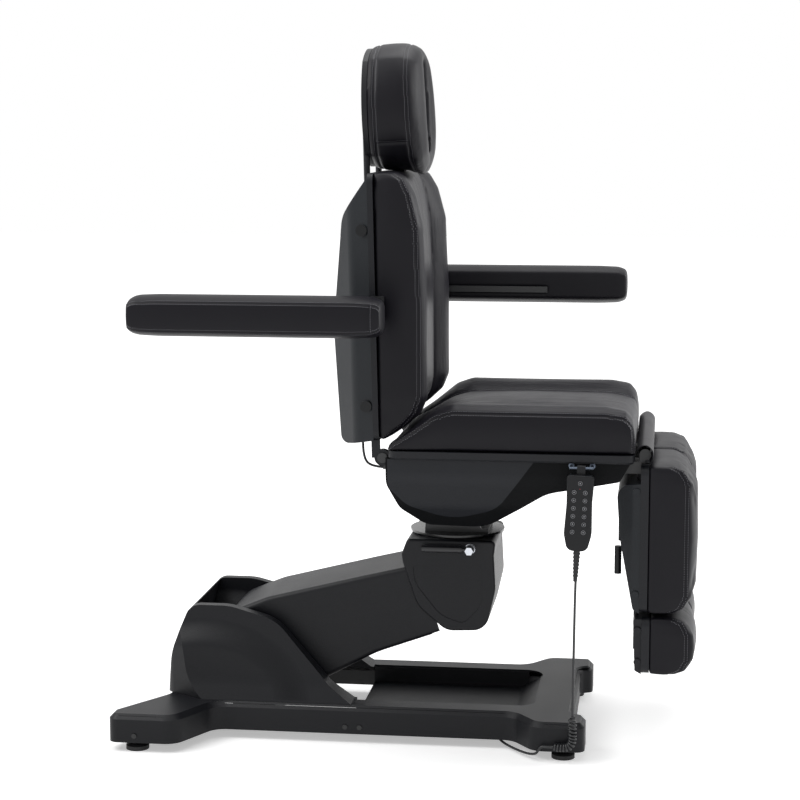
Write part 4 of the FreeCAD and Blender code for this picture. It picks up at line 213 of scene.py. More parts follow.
curl_points = []
fine_step = 0.0002
travelled = 0.0
angle = 0.0
next_angle = 0.0
for place, ahead in walk(line_of(curl_route), fine_step):
    side = Vector((0, 1, 0))
    out = ahead.cross(side).normalized()
    side = out.cross(ahead).normalized()
    near = min(travelled, CURL_LENGTH - travelled) - CORD_DIAMETER
    share = max(0.0, min(1.0, near / CURL_EASE))
    radius = CURL_RADIUS * share * share * (3 - 2 * share)
    if travelled <= CURL_LENGTH:
        if angle >= next_angle:
            swing = out * math.cos(angle) + side * math.sin(angle)
            curl_points.append(place + swing * radius)
            next_angle += 2 * math.pi / CURL_POINTS
        pitch = CURL_PITCH if travelled < CURL_HANGING else CURL_END_PITCH
        if near > -CURL_LEAD:
            angle += 2 * math.pi * fine_step / pitch
        elif travelled < CURL_LENGTH / 2:
            next_angle = angle
    travelled += fine_step

plain_end = [Vector(p) for p in curl_route[PLAIN_FROM:]]
curl_cord = cord_curve("handset_cord_curly", [tuple(p) for p in curl_points + plain_end],
                       "cord_coil", "base")
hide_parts("cord_coil", "cord_tail")


# ---- Base covers and arm housing ----------------------------------------------------------
# Vacuum-formed ABS skins over the steel chassis, moulded with a fine leathered grain that
# keeps them matt and scatters the light in tiny specks on the edges.
def grained_abs(name, colour, roughness, grain_mm=1.6, gloss=0.24):
    """Black moulded ABS; the real grain of 0.5 mm is drawn two to four times as coarse, so that
    it shows."""
    made = material(name, colour, roughness, Specular_IOR_Level=gloss)
    place = add(made, "TexCoord").outputs["Object"]
    grain = add(made, "TexVoronoi", Vector=place, Scale=1000 / grain_mm)
    mottle = add(made, "TexNoise", Vector=place, Scale=9.0, Detail=2.0)
    bump = add(made, "Bump", Strength=0.45, Distance=0.0004, Height=grain.outputs["Distance"])
    feed(made, "Normal", bump.outputs["Normal"])
    sheen = add(made, "MapRange", Value=mottle.outputs["Fac"],
                To_Min=roughness - 0.04, To_Max=roughness + 0.06)
    feed(made, "Roughness", sheen.outputs["Result"])
    tone = add(made, "ValToRGB", Fac=grain.outputs["Distance"])
    dark = linear(colour)
    tone.color_ramp.elements[0].color = [c * 1.25 for c in dark[:3]] + [1.0]
    tone.color_ramp.elements[1].color = [c * 0.85 for c in dark[:3]] + [1.0]
    feed(made, "Base Color", tone.outputs["Color"])
    return made


cover_abs = grained_abs("moulded_abs_grained_black", "#0d0e12", 0.42)
for name in ("base_front_cover", "base_rear_cover", "tray_liner"):
    dress(name, cover_abs)

# The flanks of the arm's housing swell softly into a lower panel, under a band that catches the
# light; the swelling is a few millimetres, so it is drawn into the surface.
PANEL_X, PANEL_Z, PANEL_LONG, PANEL_HIGH = -0.452, 0.058, 0.205, 0.168
PANEL_INSIDE, PANEL_OUTSIDE = 0.80, 1.20
PANEL_SWELL = 0.030
SKIRT_TOP = 0.084
flank_abs = grained_abs("moulded_abs_swollen_flank_black", "#0d0e12", 0.42)
place = add(flank_abs, "TexCoord").outputs["Object"]
parts = add(flank_abs, "SeparateXYZ", Vector=place)
centred = add(flank_abs, "Mapping", {"vector_type": "POINT"}, Vector=place,
              Location=(-PANEL_X / PANEL_LONG, 0.0, -PANEL_Z / PANEL_HIGH),
              Scale=(1 / PANEL_LONG, 0.0, 1 / PANEL_HIGH))
away = add(flank_abs, "VectorMath", {"operation": "LENGTH"}, Vector=centred.outputs["Vector"])
swell = add(flank_abs, "MapRange", {"interpolation_type": "SMOOTHSTEP"},
            Value=away.outputs["Value"], From_Min=PANEL_INSIDE, From_Max=PANEL_OUTSIDE,
            To_Min=1.0, To_Max=0.0)
above = add(flank_abs, "MapRange", Value=parts.outputs["Z"],
            From_Min=SKIRT_TOP, From_Max=SKIRT_TOP + 0.004, To_Min=0.0, To_Max=0.9)
grain = next(n for n in flank_abs.node_tree.nodes if n.bl_idname == "ShaderNodeBump")
band = add(flank_abs, "Bump", Strength=above.outputs["Result"], Distance=PANEL_SWELL,
           Height=swell.outputs["Result"])
flank_abs.node_tree.links.new(band.outputs["Normal"], grain.inputs["Normal"])
dress("arm_housing", flank_abs)


# ---- Chassis, feet and screws -------------------------------------------------------------
# Welded box-section steel, powder coated black, on four screw-in levelling feet with moulded
# rubber pads; the covers are held by black countersunk screws.
def coated_steel(name, colour, roughness):
    """Powder coating: a thick paint with a slight orange peel of about 4 mm."""
    made = material(name, colour, roughness)
    place = add(made, "TexCoord").outputs["Object"]
    peel = add(made, "TexNoise", Vector=place, Scale=260.0, Detail=2.0)
    bump = add(made, "Bump", Strength=0.12, Distance=0.0003, Height=peel.outputs["Fac"])
    feed(made, "Normal", bump.outputs["Normal"])
    shade = add(made, "MapRange", Value=peel.outputs["Fac"],
                To_Min=roughness - 0.05, To_Max=roughness + 0.07)
    feed(made, "Roughness", shade.outputs["Result"])
    return made


def bright_steel(name, colour, roughness):
    """Bright zinc plate: a clear metal with a faint turned grain, about 1 mm across."""
    made = material(name, colour, roughness, metallic=1.0)
    place = add(made, "TexCoord").outputs["Object"]
    stretched = add(made, "Mapping", Vector=place, Scale=(90.0, 900.0, 90.0))
    turned = add(made, "TexNoise", Vector=stretched.outputs["Vector"], Scale=1.0, Detail=2.0)
    shade = add(made, "MapRange", Value=turned.outputs["Fac"],
                To_Min=roughness - 0.04, To_Max=roughness + 0.10)
    feed(made, "Roughness", shade.outputs["Result"])
    return made


frame_steel = coated_steel("powder_coated_steel_black", "#1a1b1d", 0.38)
shaft_steel = bright_steel("zinc_plated_steel", "#b9bcc2", 0.22)
foot_rubber = rubber("moulded_foot_rubber", "#121214", 0.62)
dress("base_frame", frame_steel)
dress("cover_screws", coated_steel("blackened_screw_steel", "#0c0d0f", 0.35))
dress("levelling_feet", foot_rubber)
dress("rear_shaft", shaft_steel)
dress("cord_gland", foot_rubber)


# ---- Lifting arm and knuckle --------------------------------------------------------------
# Two half-shells of the same ABS over the arm's steel plates, and the covers of the knuckle
# that carries the seat's turntable.
for name in ("arm_upper_cover", "arm_lower_cover", "knuckle_side_covers",
             "knuckle_front_cover", "knuckle_cap"):
    dress(name, cover_abs)
for name in ("arm_beam", "link_bar", "knuckle_frame", "tilt_bracket"):
    dress(name, frame_steel)


# ---- Turntable and swivel lock ------------------------------------------------------------
# A pressed disc in glossy black, and the clamp: a black lever on a bright plated stud.
dress("swivel_disc", coated_steel("glossy_painted_steel_black", "#141517", 0.22))
dress("lock_lever", coated_steel("lever_paint_black", "#1b1b1e", 0.30))
dress("lock_stud", shaft_steel)


# ---- Seat hull ----------------------------------------------------------------------------
# The moulded hull below the seat with its raised half-moon panels, and the wrapped board
# whose edge shows as a strip all round under the cushion.
dress("belly_shell", grained_abs("moulded_abs_hull_black", "#07080a", 0.50, gloss=0.10))
dress("belly_panels", grained_abs("moulded_abs_panel_black", "#191b20", 0.42))
dress("seat_frame", frame_steel)
edge_strip = grained_abs("wrapped_board_edge", "#16171b", 0.42, grain_mm=2.0)
for name in ("seat_rim", "back_board", "headrest_board"):
    dress(name, edge_strip)
for side in ("left", "right"):
    dress(f"leg_{side}_board", edge_strip)
    dress(f"armrest_{side}_bar", frame_steel)


# ---- Shells of the backrest and legs ------------------------------------------------------
# Moulded shells with bevelled flanks, held by round screw knobs.
shell_abs = grained_abs("moulded_abs_shell_black", "#1c1f23", 0.42)
knob_abs = grained_abs("knob_abs_black", "#141517", 0.36)
dress("back_shell", shell_abs)
dress("back_shell_knobs", knob_abs)
dress("armrest_shafts", frame_steel)
for side in ("left", "right"):
    dress(f"leg_{side}_shell", shell_abs)
    dress(f"foot_{side}_casing", edge_strip)
    dress(f"leg_{side}_lever", knob_abs)


# ---- Handset ------------------------------------------------------------------------------
# A two-part ABS case with a printed membrane keypad: outlined round keys and a small red lamp,
# on a plated wire hook; a ribbed rubber relief holds the cord.
dress("handset_case", grained_abs("handset_abs_black", "#0f1013", 0.38, grain_mm=1.2))
dress("handset_keys", grained_abs("keypad_film_black", "#15161a", 0.34, grain_mm=1.2))
dress("handset_strain_relief", foot_rubber)
dress("handset_hook_bar", bright_steel("plated_wire_hook", "#5b636f", 0.28))

# The print on the keypad film: a ring round each key, with a plain arrowhead or dot in it, and
# the red lens of the lamp between the first keys
HANDSET_TURN = math.radians(2.4)
HANDSET_X, HANDSET_HANG_Z, HANDSET_TOP, HANDSET_LENGTH = 0.384, 0.635, 0.622, 0.160
HANDSET_FRONT_Y, IN_FRONT_Y = -0.303, -0.40
KEY_COLUMN = 0.0116
KEY_ROWS = (0.22, 0.325, 0.43, 0.535, 0.64, 0.745)  # shares of the handset's length
RING_OUTER, RING_INNER, RING_POINTS = 0.0045, 0.0039, 24
ARROW_RADIUS, DOT_RADIUS, DOT_POINTS = 0.0021, 0.0014, 10
INK_THICKNESS, INK_CLEAR = 0.0001, 0.00006


def surface_of(piece):
    """A piece's surface, for finding places on it."""
    return BVHTree.FromObject(piece, bpy.context.evaluated_depsgraph_get())


def front_y(surface, place):
    """How far out the handset's front stands at a place."""
    found = surface.ray_cast(Vector((place.x, IN_FRONT_Y, place.z)), Vector((0, 1, 0)))[0]
    return found.y if found else place.y


def outward(piece):
    """Turns all faces of a new mesh outwards."""
    bpy.ops.object.select_all(action="DESELECT")
    bpy.context.view_layer.objects.active = piece
    piece.select_set(True)
    bpy.ops.object.mode_set(mode="EDIT")
    bpy.ops.mesh.select_all(action="SELECT")
    bpy.ops.mesh.normals_make_consistent(inside=False)
    bpy.ops.object.mode_set(mode="OBJECT")


def on_handset(across, drop_share):
    """A place on the front of the hanging handset, from its middle line and its top."""
    fall = HANDSET_TOP - HANDSET_LENGTH * drop_share - HANDSET_HANG_Z
    x = HANDSET_X + across * math.cos(HANDSET_TURN) + fall * math.sin(HANDSET_TURN)
    z = HANDSET_HANG_Z - across * math.sin(HANDSET_TURN) + fall * math.cos(HANDSET_TURN)
    return Vector((x, HANDSET_FRONT_Y, z))


keypad = surface_of(nodes["handset_keys"])
key_places = [(0.0, 0.10)] + [(side * KEY_COLUMN, drop) for drop in KEY_ROWS for side in (-1, 1)]
corners = []
faces = []
for across, drop in key_places:
    middle = on_handset(across, drop)
    front = front_y(keypad, middle) - INK_CLEAR

    def round_key(turn, radius):
        return middle.x + math.sin(turn) * radius, front, middle.z + math.cos(turn) * radius

    first = len(corners)
    for step in range(RING_POINTS):
        turn = 2 * math.pi * step / RING_POINTS
        corners += [round_key(turn, RING_OUTER), round_key(turn, RING_INNER)]
    for step in range(RING_POINTS):
        a, b = first + 2 * step, first + 2 * ((step + 1) % RING_POINTS)
        faces.append((a, b, b + 1, a + 1))
    # Left keys point up, right keys down, and the key in the middle has a dot
    first = len(corners)
    count, radius = (3, ARROW_RADIUS) if across else (DOT_POINTS, DOT_RADIUS)
    for step in range(count):
        turn = 2 * math.pi * step / count + (math.pi if across > 0 else 0.0)
        corners.append(round_key(turn, radius))
    faces.append(tuple(range(first, first + count)))
print_data = bpy.data.meshes.new("handset_print")
print_data.from_pydata(corners, [], faces)
print_data.materials.append(material("screen_print_light_grey", "#9fa0a4", 0.55))
key_print = placed("handset_print", print_data)
outward(key_print)
ink = key_print.modifiers.new("ink", "SOLIDIFY")
ink.thickness = INK_THICKNESS
ink.offset = 0.0
bpy.ops.object.modifier_apply(modifier=ink.name)
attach(key_print, "handset")

# The lens is a ball pressed to half its depth, half sunk in the case
LENS_DROP, LENS_RADIUS, LENS_PRESS = 0.175, 0.0010, 0.5
lens_place = on_handset(0.0, LENS_DROP)
lens_place.y = front_y(surface_of(nodes["handset_case"]), lens_place)
bpy.ops.object.select_all(action="DESELECT")
bpy.ops.mesh.primitive_uv_sphere_add(segments=16, ring_count=8, radius=LENS_RADIUS,
                                     location=(0, 0, 0))
lamp_lens = bpy.context.object
lamp_lens.name = "handset_lamp_lens"
for vertex in lamp_lens.data.vertices:
    vertex.co = Vector((vertex.co.x, vertex.co.y * LENS_PRESS, vertex.co.z)) + lens_place
lamp_lens.data.polygons.foreach_set("use_smooth", [True] * len(lamp_lens.data.polygons))
lamp_lens.data.materials.append(material("tinted_acrylic_red", "#9c1f28", 0.12,
                                         Coat_Weight=0.6, Coat_Roughness=0.05))
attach(lamp_lens, "handset")


# ---- Cable of the backrest's motor --------------------------------------------------------
# A short rubber-sheathed cable in a slack curve between the backrest's shell and the seat's
# hull.
back_route = [(-0.100, -0.120, 0.656), (-0.100, -0.120, 0.6202),
              (-0.0798, -0.120, 0.600), (-0.0418, -0.120, 0.600)]
back_curve = cord_curve("backrest_cable_line", back_route, "back_cable", "seat")
back_line = line_of(back_route)
back_cable = placed("backrest_cable", bpy.data.meshes.new_from_object(back_curve))
bpy.data.objects.remove(back_curve)
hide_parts("back_cable")
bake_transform(back_cable)


# ---- Seat cushion -------------------------------------------------------------------------
# Moulded foam on the wrapped board under black leathercloth: a boxed side with its top seam
# turned and twice stitched, two bolsters, and a softer middle panel that has creased in use.
LEATHER_GLOSS = 0.18
LEATHER_GRAIN_MM = 1.4


def leathercloth(name, colour, roughness, crease_ways=None):
    """PVC leathercloth: a fine pressed grain, drawn coarser than the real one so that it shows,
    a soft grey sheen and, on a panel that is sat on, long creases; crease_ways is how many there
    are to a metre along each axis."""
    made = material(name, colour, roughness, Specular_IOR_Level=LEATHER_GLOSS)
    place = add(made, "TexCoord").outputs["Object"]
    grain = add(made, "TexVoronoi", {"feature": "SMOOTH_F1"}, Vector=place,
                Scale=1000 / LEATHER_GRAIN_MM)
    pressed = add(made, "Bump", Strength=0.35, Distance=0.00025, Height=grain.outputs["Distance"])
    soft = add(made, "TexNoise", Vector=place, Scale=14.0, Detail=3.0, Roughness=0.55)
    slack = add(made, "Bump", Strength=0.22, Distance=0.004, Height=soft.outputs["Fac"],
                Normal=pressed.outputs["Normal"])
    last = slack
    if crease_ways:
        drawn = add(made, "Mapping", Vector=place, Scale=crease_ways)
        folds = add(made, "TexNoise", Vector=drawn.outputs["Vector"], Scale=1.0, Detail=4.0,
                    Roughness=0.6, Distortion=0.35)
        last = add(made, "Bump", Strength=0.55, Distance=0.0035, Height=folds.outputs["Fac"],
                   Normal=slack.outputs["Normal"])
    feed(made, "Normal", last.outputs["Normal"])
    rubbed = add(made, "MapRange", Value=soft.outputs["Fac"],
                 To_Min=roughness - 0.07, To_Max=roughness + 0.07)
    feed(made, "Roughness", rubbed.outputs["Result"])
    return made


def soft_skin(node, name, voxel):
    """An evenly meshed copy of a cushion's solid, ready to be stuffed."""
    mesh = nodes[node].data.copy()
    mesh.name = name
    mesh.materials.clear()
    piece = placed(name, mesh)
    bpy.ops.object.select_all(action="DESELECT")
    bpy.context.view_layer.objects.active = piece
    piece.select_set(True)
    bpy.ops.object.mode_set(mode="EDIT")
    bpy.ops.mesh.select_all(action="SELECT")
    bpy.ops.mesh.remove_doubles(threshold=0.00001)
    bpy.ops.object.mode_set(mode="OBJECT")
    even = piece.modifiers.new("even", "REMESH")
    even.mode = "VOXEL"
    even.voxel_size = voxel
    bpy.ops.object.modifier_apply(modifier=even.name)
    return piece


COVER_PRESSURE = 3.0
COVER_STIFFNESS = 25.0
FILLING_FRAMES = 20


def stuff(piece, held, cap):
    """Fills the cover with air for a moment, as foam fills it. held says whether a place is
    fixed, and cap is how far any place may move."""
    start = [v.co.copy() for v in piece.data.vertices]
    sewn = piece.vertex_groups.new(name="sewn")
    sewn.add([i for i, place in enumerate(start) if held(place)], 1.0, "REPLACE")
    cloth = piece.modifiers.new("cloth", "CLOTH")
    cloth.settings.use_pressure = True
    cloth.settings.uniform_pressure_force = COVER_PRESSURE
    cloth.settings.vertex_group_mass = "sewn"
    cloth.settings.effector_weights.gravity = 0.0
    cloth.settings.tension_stiffness = COVER_STIFFNESS
    cloth.settings.compression_stiffness = COVER_STIFFNESS
    cloth.collision_settings.use_collision = False
    for moment in range(1, FILLING_FRAMES + 1):
        bpy.context.scene.frame_set(moment)
    swollen = piece.evaluated_get(bpy.context.evaluated_depsgraph_get())
    ends = [v.co.copy() for v in swollen.data.vertices]
    piece.modifiers.remove(cloth)
    for vertex, here, there in zip(piece.data.vertices, start, ends):
        way = there - here
        vertex.co = here + way * min(1.0, cap / way.length) if way.length > 0 else here
    bpy.context.scene.frame_set(1)


def subdivided(piece):
    """One finer, rounded level of a cover's mesh."""
    bpy.context.view_layer.objects.active = piece
    finer = piece.modifiers.new("finer", "SUBSURF")
    finer.levels = finer.render_levels = 1
    bpy.ops.object.modifier_apply(modifier=finer.name)
    piece.data.polygons.foreach_set("use_smooth", [True] * len(piece.data.polygons))


SEAM_STEP = 0.0015


def tree_of(lines):
    """A search tree over close points along some lines."""
    places = [place for line in lines for place, _ in walk(line, SEAM_STEP)]
    tree = KDTree(len(places))
    for i, place in enumerate(places):
        tree.insert(place, i)
    tree.balance()
    return tree


def drawn_in(piece, lines, depth, width):
    """Pulls the cover in along its seams; past three widths from one the pull is nothing."""
    tree = tree_of(lines)
    ways = [v.normal.copy() for v in piece.data.vertices]
    for vertex, way in zip(piece.data.vertices, ways):
        away = tree.find(vertex.co)[2]
        if away < width * 3:
            vertex.co -= way * depth * math.exp(-(away / width) ** 2)


# The thread's light grey is partly its own colour and partly a painted highlight along the seams
thread = material("polyester_thread_grey_painted_seam_highlight", "#6d6d73", 0.55)
STITCH_PITCH = 0.0052
# For each end and each shoulder of a stitch: how far along it, its half width there, and how
# far its top stands out of the cover
STITCH_RINGS = ((-0.0017, 0.00022, -0.0002), (-0.0009, 0.0004, 0.00035),
                (0.0009, 0.0004, 0.00035), (0.0017, 0.00022, -0.0002))
STITCH_DEPTH = 0.0004


def stitched(name, piece, body, lines, offsets):
    """Rows of stitches beside the seams, at these offsets: short pads of thread that sink into
    the cover at both ends."""
    skin = surface_of(piece)
    corners = []
    faces = []
    for line in lines:
        for place, ahead in walk(line, STITCH_PITCH):
            seat, normal = skin.find_nearest(place)[:2]
            across = normal.cross(ahead).normalized()
            for offset in offsets:
                spot, out = skin.find_nearest(seat + across * offset)[:2]
                along = (ahead - out * ahead.dot(out)).normalized()
                beside = out.cross(along)
                first = len(corners)
                for end, wide, lift in STITCH_RINGS:
                    corners.append(spot + along * end + beside * wide + out * lift)
                    corners.append(spot + along * end - beside * wide + out * lift)
                    corners.append(spot + along * end - out * STITCH_DEPTH)
                for ring in range(len(STITCH_RINGS) - 1):
                    a = first + ring * 3
                    for k in range(3):
                        faces.append((a + k, a + (k + 1) % 3, a + 3 + (k + 1) % 3, a + 3 + k))
                faces.append((first + 2, first + 1, first))
                faces.append((first + 9, first + 10, first + 11))
    mesh = bpy.data.meshes.new(name)
    mesh.from_pydata(corners, [], faces)
    mesh.materials.append(thread)
    rows = placed(name, mesh)
    outward(rows)
    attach(rows, body)


def covered(piece, node, body, plain, panel=None, on_lit_panel=None):
    """Gives a finished cushion its cover and says what it is."""
    piece.data.materials.append(plain)
    if panel:
        piece.data.materials.append(panel)
        # Faces that the test picks take the second cloth, a lighter copy whose colour is painted
        # light
        for face in piece.data.polygons:
            if on_lit_panel(face.center, face.normal):
                face.material_index = 1
    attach(piece, body)
    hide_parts(node)


def eased(shares, along):
    """The row of a share table at a place between two of its stations."""
    for here, there in zip(shares, shares[1:]):
        if along <= there[0]:
            part = (along - here[0]) / (there[0] - here[0])
            return [a + (b - a) * part for a, b in zip(here[1:], there[1:])]
    return list(shares[-1][1:])


# Where the seams run on a bolstered cushion: the edge seams' share of the crest's height, and
# the inner seams' share of the half width
EDGE_SEAM_UP, INNER_SEAM_ACROSS = 0.86, 0.60
SEAM_SECTIONS = 80


def seam_lines(shares, start, end, half, base, crest, valley, swell, place):
    """The two edge seams and the two inner seams of a bolstered cushion, from its sections."""
    lines = [[], [], [], []]
    for step in range(SEAM_SECTIONS + 1):
        along = step / SEAM_SECTIONS
        crest_share, valley_share, half_share = eased(shares, along)
        run = start + (end - start) * along
        edge = half * half_share - swell * min(1.0, crest_share) / 2
        high = base + (crest - base) * crest_share * EDGE_SEAM_UP
        inner = half * half_share * INNER_SEAM_ACROSS
        low = base + (valley - base) * valley_share
        for line, across, up in zip(lines, (-edge, edge, -inner, inner), (high, high, low, low)):
            line.append(place(run, across, up))
    return lines


# Each section of the seat, from the rear: its share of the length, then its shares of the
# crest's height, of the valley's height and of the half width
SEAT_SHARES = ((0.00, 0.10, 0.10, 0.985), (0.09, 0.44, 0.42, 0.99), (0.19, 0.87, 0.83, 1.0),
               (0.26, 1.0, 0.97, 1.0), (0.50, 1.0, 1.03, 1.0), (0.88, 1.0, 1.0, 1.0),
               (0.96, 0.93, 0.90, 0.995), (0.99, 0.74, 0.78, 0.985), (1.00, 0.45, 0.50, 0.97))
SEAT_REAR, SEAT_FRONT, SEAT_HALF = -0.026, 0.494, 0.272
SEAT_BASE, SEAT_CREST, SEAT_VALLEY = 0.6603, 0.757, 0.736
SEAT_PANEL_REAR, SEAT_PANEL_HALF = 0.02, 0.262
SIDE_SWELL = 0.008
SEWN_EDGE = 0.006  # the cover is held this near to its board and to a seam
# The panel's cloth is lighter than the plain cover: painted light on the faces turned this way
FACING_OUT = 0.35  # a face that turns this much to the sitter is the panel's

seat_seams = seam_lines(SEAT_SHARES, SEAT_REAR, SEAT_FRONT, SEAT_HALF, SEAT_BASE, SEAT_CREST,
                        SEAT_VALLEY, SIDE_SWELL,
                        lambda run, across, up: Vector((run, across, up)))
# At the front corners the edge seams turn down to the board
for line in seat_seams[:2]:
    side = 1 if line[0].y > 0 else -1
    kept = [p for p in line if p.x < SEAT_FRONT - 0.014]
    line[:] = kept + [
        Vector((SEAT_FRONT - 0.005, side * (SEAT_HALF - 0.007), SEAT_BASE + 0.060)),
        Vector((SEAT_FRONT - 0.003, side * (SEAT_HALF - 0.010), SEAT_BASE + 0.002))]

# The creased cloth is the same leathercloth in a lighter colour: painted light on every face that
# turns up, bolster tops included; its creases are real
cover_cloth = leathercloth("pvc_leathercloth_black", "#0e0d13", 0.44)
seat_panel = leathercloth("pvc_leathercloth_creased_painted_lit_seat", "#15141a", 0.42,
                          crease_ways=(7.0, 46.0, 46.0))
seat_pad = soft_skin("seat_cushion", "seat_pad", voxel=0.0065)
seat_tree = tree_of(seat_seams)
stuff(seat_pad, lambda p: p.z < SEAT_BASE + SEWN_EDGE or seat_tree.find(p)[2] < SEWN_EDGE,
      cap=0.005)
subdivided(seat_pad)
drawn_in(seat_pad, seat_seams, depth=0.0028, width=0.0038)
covered(seat_pad, "seat_cushion", "seat", cover_cloth, seat_panel,
        lambda p, n: abs(p.y) < SEAT_PANEL_HALF and n.z > FACING_OUT and p.x > SEAT_PANEL_REAR)
stitched("seat_stitches", seat_pad, "seat", seat_seams[:2], offsets=(-0.0045, 0.0045))
stitched("seat_panel_stitches", seat_pad, "seat", seat_seams[2:], offsets=(0.0045,))


# ---- Backrest cushion ---------------------------------------------------------------------
# The same foam and cover, upright on its board: the middle panel sits back between two deep
# bolsters and is creased from top to bottom.
BACK_SHARES = ((0.00, 0.08, 0.10, 0.94), (0.02, 0.30, 0.34, 0.96), (0.05, 0.55, 0.60, 0.98),
               (0.10, 0.86, 0.90, 0.99), (0.16, 1.0, 1.0, 1.0), (0.50, 1.04, 1.05, 1.0),
               (0.80, 1.0, 0.98, 1.0), (0.92, 0.84, 0.86, 0.985), (0.98, 0.66, 0.70, 0.96),
               (1.00, 0.45, 0.50, 0.93))
BACK_LOW, BACK_TOP, BACK_HALF = 0.678, 1.243, 0.252
BACK_BASE, BACK_CREST, BACK_VALLEY = -0.0457, 0.056, 0.028
BACK_PANEL_LOW, BACK_PANEL_TOP, BACK_PANEL_HALF = 0.72, 1.23, 0.242
BACK_HINGE = Vector((-0.041, 0.0, 0.640))
BACK_LEAN = Matrix.Rotation(math.radians(-1.4), 3, "Y")


def leaned(place):
    """A place of the upright backrest once it leans back about its hinge."""
    return BACK_HINGE + BACK_LEAN @ (place - BACK_HINGE)


back_seams = seam_lines(BACK_SHARES, BACK_LOW, BACK_TOP, BACK_HALF, BACK_BASE, BACK_CREST,
                        BACK_VALLEY, SIDE_SWELL,
                        lambda run, across, up: leaned(Vector((up, across, run))))
# The same lighter creased cloth: painted light on the faces that turn forward; the creases are
# real
back_panel = leathercloth("pvc_leathercloth_creased_painted_lit_back", "#15141a", 0.42,
                          crease_ways=(46.0, 46.0, 7.0))
back_pad = soft_skin("back_cushion", "back_pad", voxel=0.0065)
back_tree = tree_of(back_seams)
stuff(back_pad, lambda p: (leaned(Vector((BACK_BASE, 0, p.z))).x + SEWN_EDGE > p.x
                           or back_tree.find(p)[2] < SEWN_EDGE), cap=0.005)
subdivided(back_pad)
drawn_in(back_pad, back_seams, depth=0.0028, width=0.0038)
covered(back_pad, "back_cushion", "backrest", cover_cloth, back_panel,
        lambda p, n: (abs(p.y) < BACK_PANEL_HALF and n.x > FACING_OUT
                      and BACK_PANEL_LOW < p.z < BACK_PANEL_TOP))
stitched("back_stitches", back_pad, "backrest", back_seams[:2], offsets=(-0.0045, 0.0045))
stitched("back_panel_stitches", back_pad, "backrest", back_seams[2:], offsets=(0.0045,))


# ---- Headrest -----------------------------------------------------------------------------
# A ring of foam round the face hole, boxed between a rear and a front seam; the boxing is
# joined by a cross seam low on each side.
HEAD_LOW, HEAD_TALL, HEAD_HALF = 1.2433, 0.138, 0.150
HEAD_CENTRE = HEAD_LOW + HEAD_TALL
HEAD_BOARD, HEAD_REAR_SEAM, HEAD_FRONT_SEAM = -0.066, -0.0535, 0.017
HEAD_SEAM_SHARE = 0.985  # of the half width and the half height
HEAD_RING_POINTS = 48
HEAD_ROUNDNESS = 0.80  # 1 is a true oval, less is squarer
HEAD_JOIN_ACROSS, HEAD_JOIN_Z, HEAD_JOIN_CLIMB = 0.138, 1.300, 0.004
QUARTERS = (0.0, 0.25, 0.5, 0.75, 1.0)
SMALL_SEWN_EDGE = 0.005


def head_ring(x, drop, slope):
    """An oval seam round the headrest; drop lowers its foot, and slope leans its top back."""
    ring = []
    for step in range(HEAD_RING_POINTS + 1):
        turn = 2 * math.pi * step / HEAD_RING_POINTS
        across = math.copysign(abs(math.sin(turn)) ** HEAD_ROUNDNESS, math.sin(turn))
        up = math.copysign(abs(math.cos(turn)) ** HEAD_ROUNDNESS, math.cos(turn))
        z = HEAD_CENTRE - drop / 2 + (HEAD_TALL * HEAD_SEAM_SHARE + drop / 2) * up
        ring.append(leaned(Vector((x - HEAD_TALL * up * slope,
                                   HEAD_HALF * HEAD_SEAM_SHARE * across, z))))
    return ring


def laid_on(skin, line):
    """The points of a line, each moved to the nearest place on a cushion."""
    return [skin.find_nearest(p)[0] for p in line]


head_pad = soft_skin("headrest_cushion", "headrest_pad", voxel=0.0055)
head_skin = surface_of(head_pad)
head_rings = [laid_on(head_skin, head_ring(HEAD_FRONT_SEAM, drop=0.010, slope=0.03)),
              laid_on(head_skin, head_ring(HEAD_REAR_SEAM, drop=0.0, slope=0.0))]
head_joins = []
for side in (-1, 1):
    join = [leaned(Vector((HEAD_REAR_SEAM + (HEAD_FRONT_SEAM - HEAD_REAR_SEAM) * t,
                           side * HEAD_JOIN_ACROSS, HEAD_JOIN_Z + HEAD_JOIN_CLIMB * t)))
            for t in QUARTERS]
    head_joins.append(laid_on(head_skin, join))
head_seams = head_rings + head_joins
head_tree = tree_of(head_seams)
stuff(head_pad, lambda p: (p.x < leaned(Vector((HEAD_BOARD, 0, p.z))).x
                           or head_tree.find(p)[2] < SMALL_SEWN_EDGE), cap=0.004)
subdivided(head_pad)
drawn_in(head_pad, head_seams, depth=0.0022, width=0.0036)
covered(head_pad, "headrest_cushion", "headrest", cover_cloth)
stitched("headrest_stitches", head_pad, "headrest", head_rings, offsets=(-0.0042, 0.0042))
stitched("headrest_join_stitches", head_pad, "headrest", head_joins, offsets=(0.0036,))


# ---- Armrests -----------------------------------------------------------------------------
# Long foam rests on flat steel bars, each cover closed by a seam above and below and by a
# turned flap at its rear end.
# Each section of a rest, from its rear end: its share of the length and of the thickness
REST_SHARES = ((0.0, 0.70), (0.012, 0.86), (0.04, 0.96), (0.12, 1.0), (0.5, 1.0), (0.88, 1.0),
               (0.96, 0.96), (0.988, 0.86), (1.0, 0.70))
REST_PIVOT_X, REST_PIVOT_Z, REST_RISE = -0.049, 0.960, 0.010
REST_TAIL, REST_LENGTH = 0.024, 0.534
REST_INNER, REST_WIDTH, REST_THICK = 0.298, 0.090, 0.088
REST_SEAM_OUT, REST_SEAM_UP = 0.96, 0.70  # shares of the half width and the half thickness
REST_FLAP_IN, REST_FLAP_UP = 0.022, 0.30  # from the rear end, and a share of the thickness
REST_BOARD = 0.008  # the cover is held this far out from the bar
REST_SECTIONS = 60
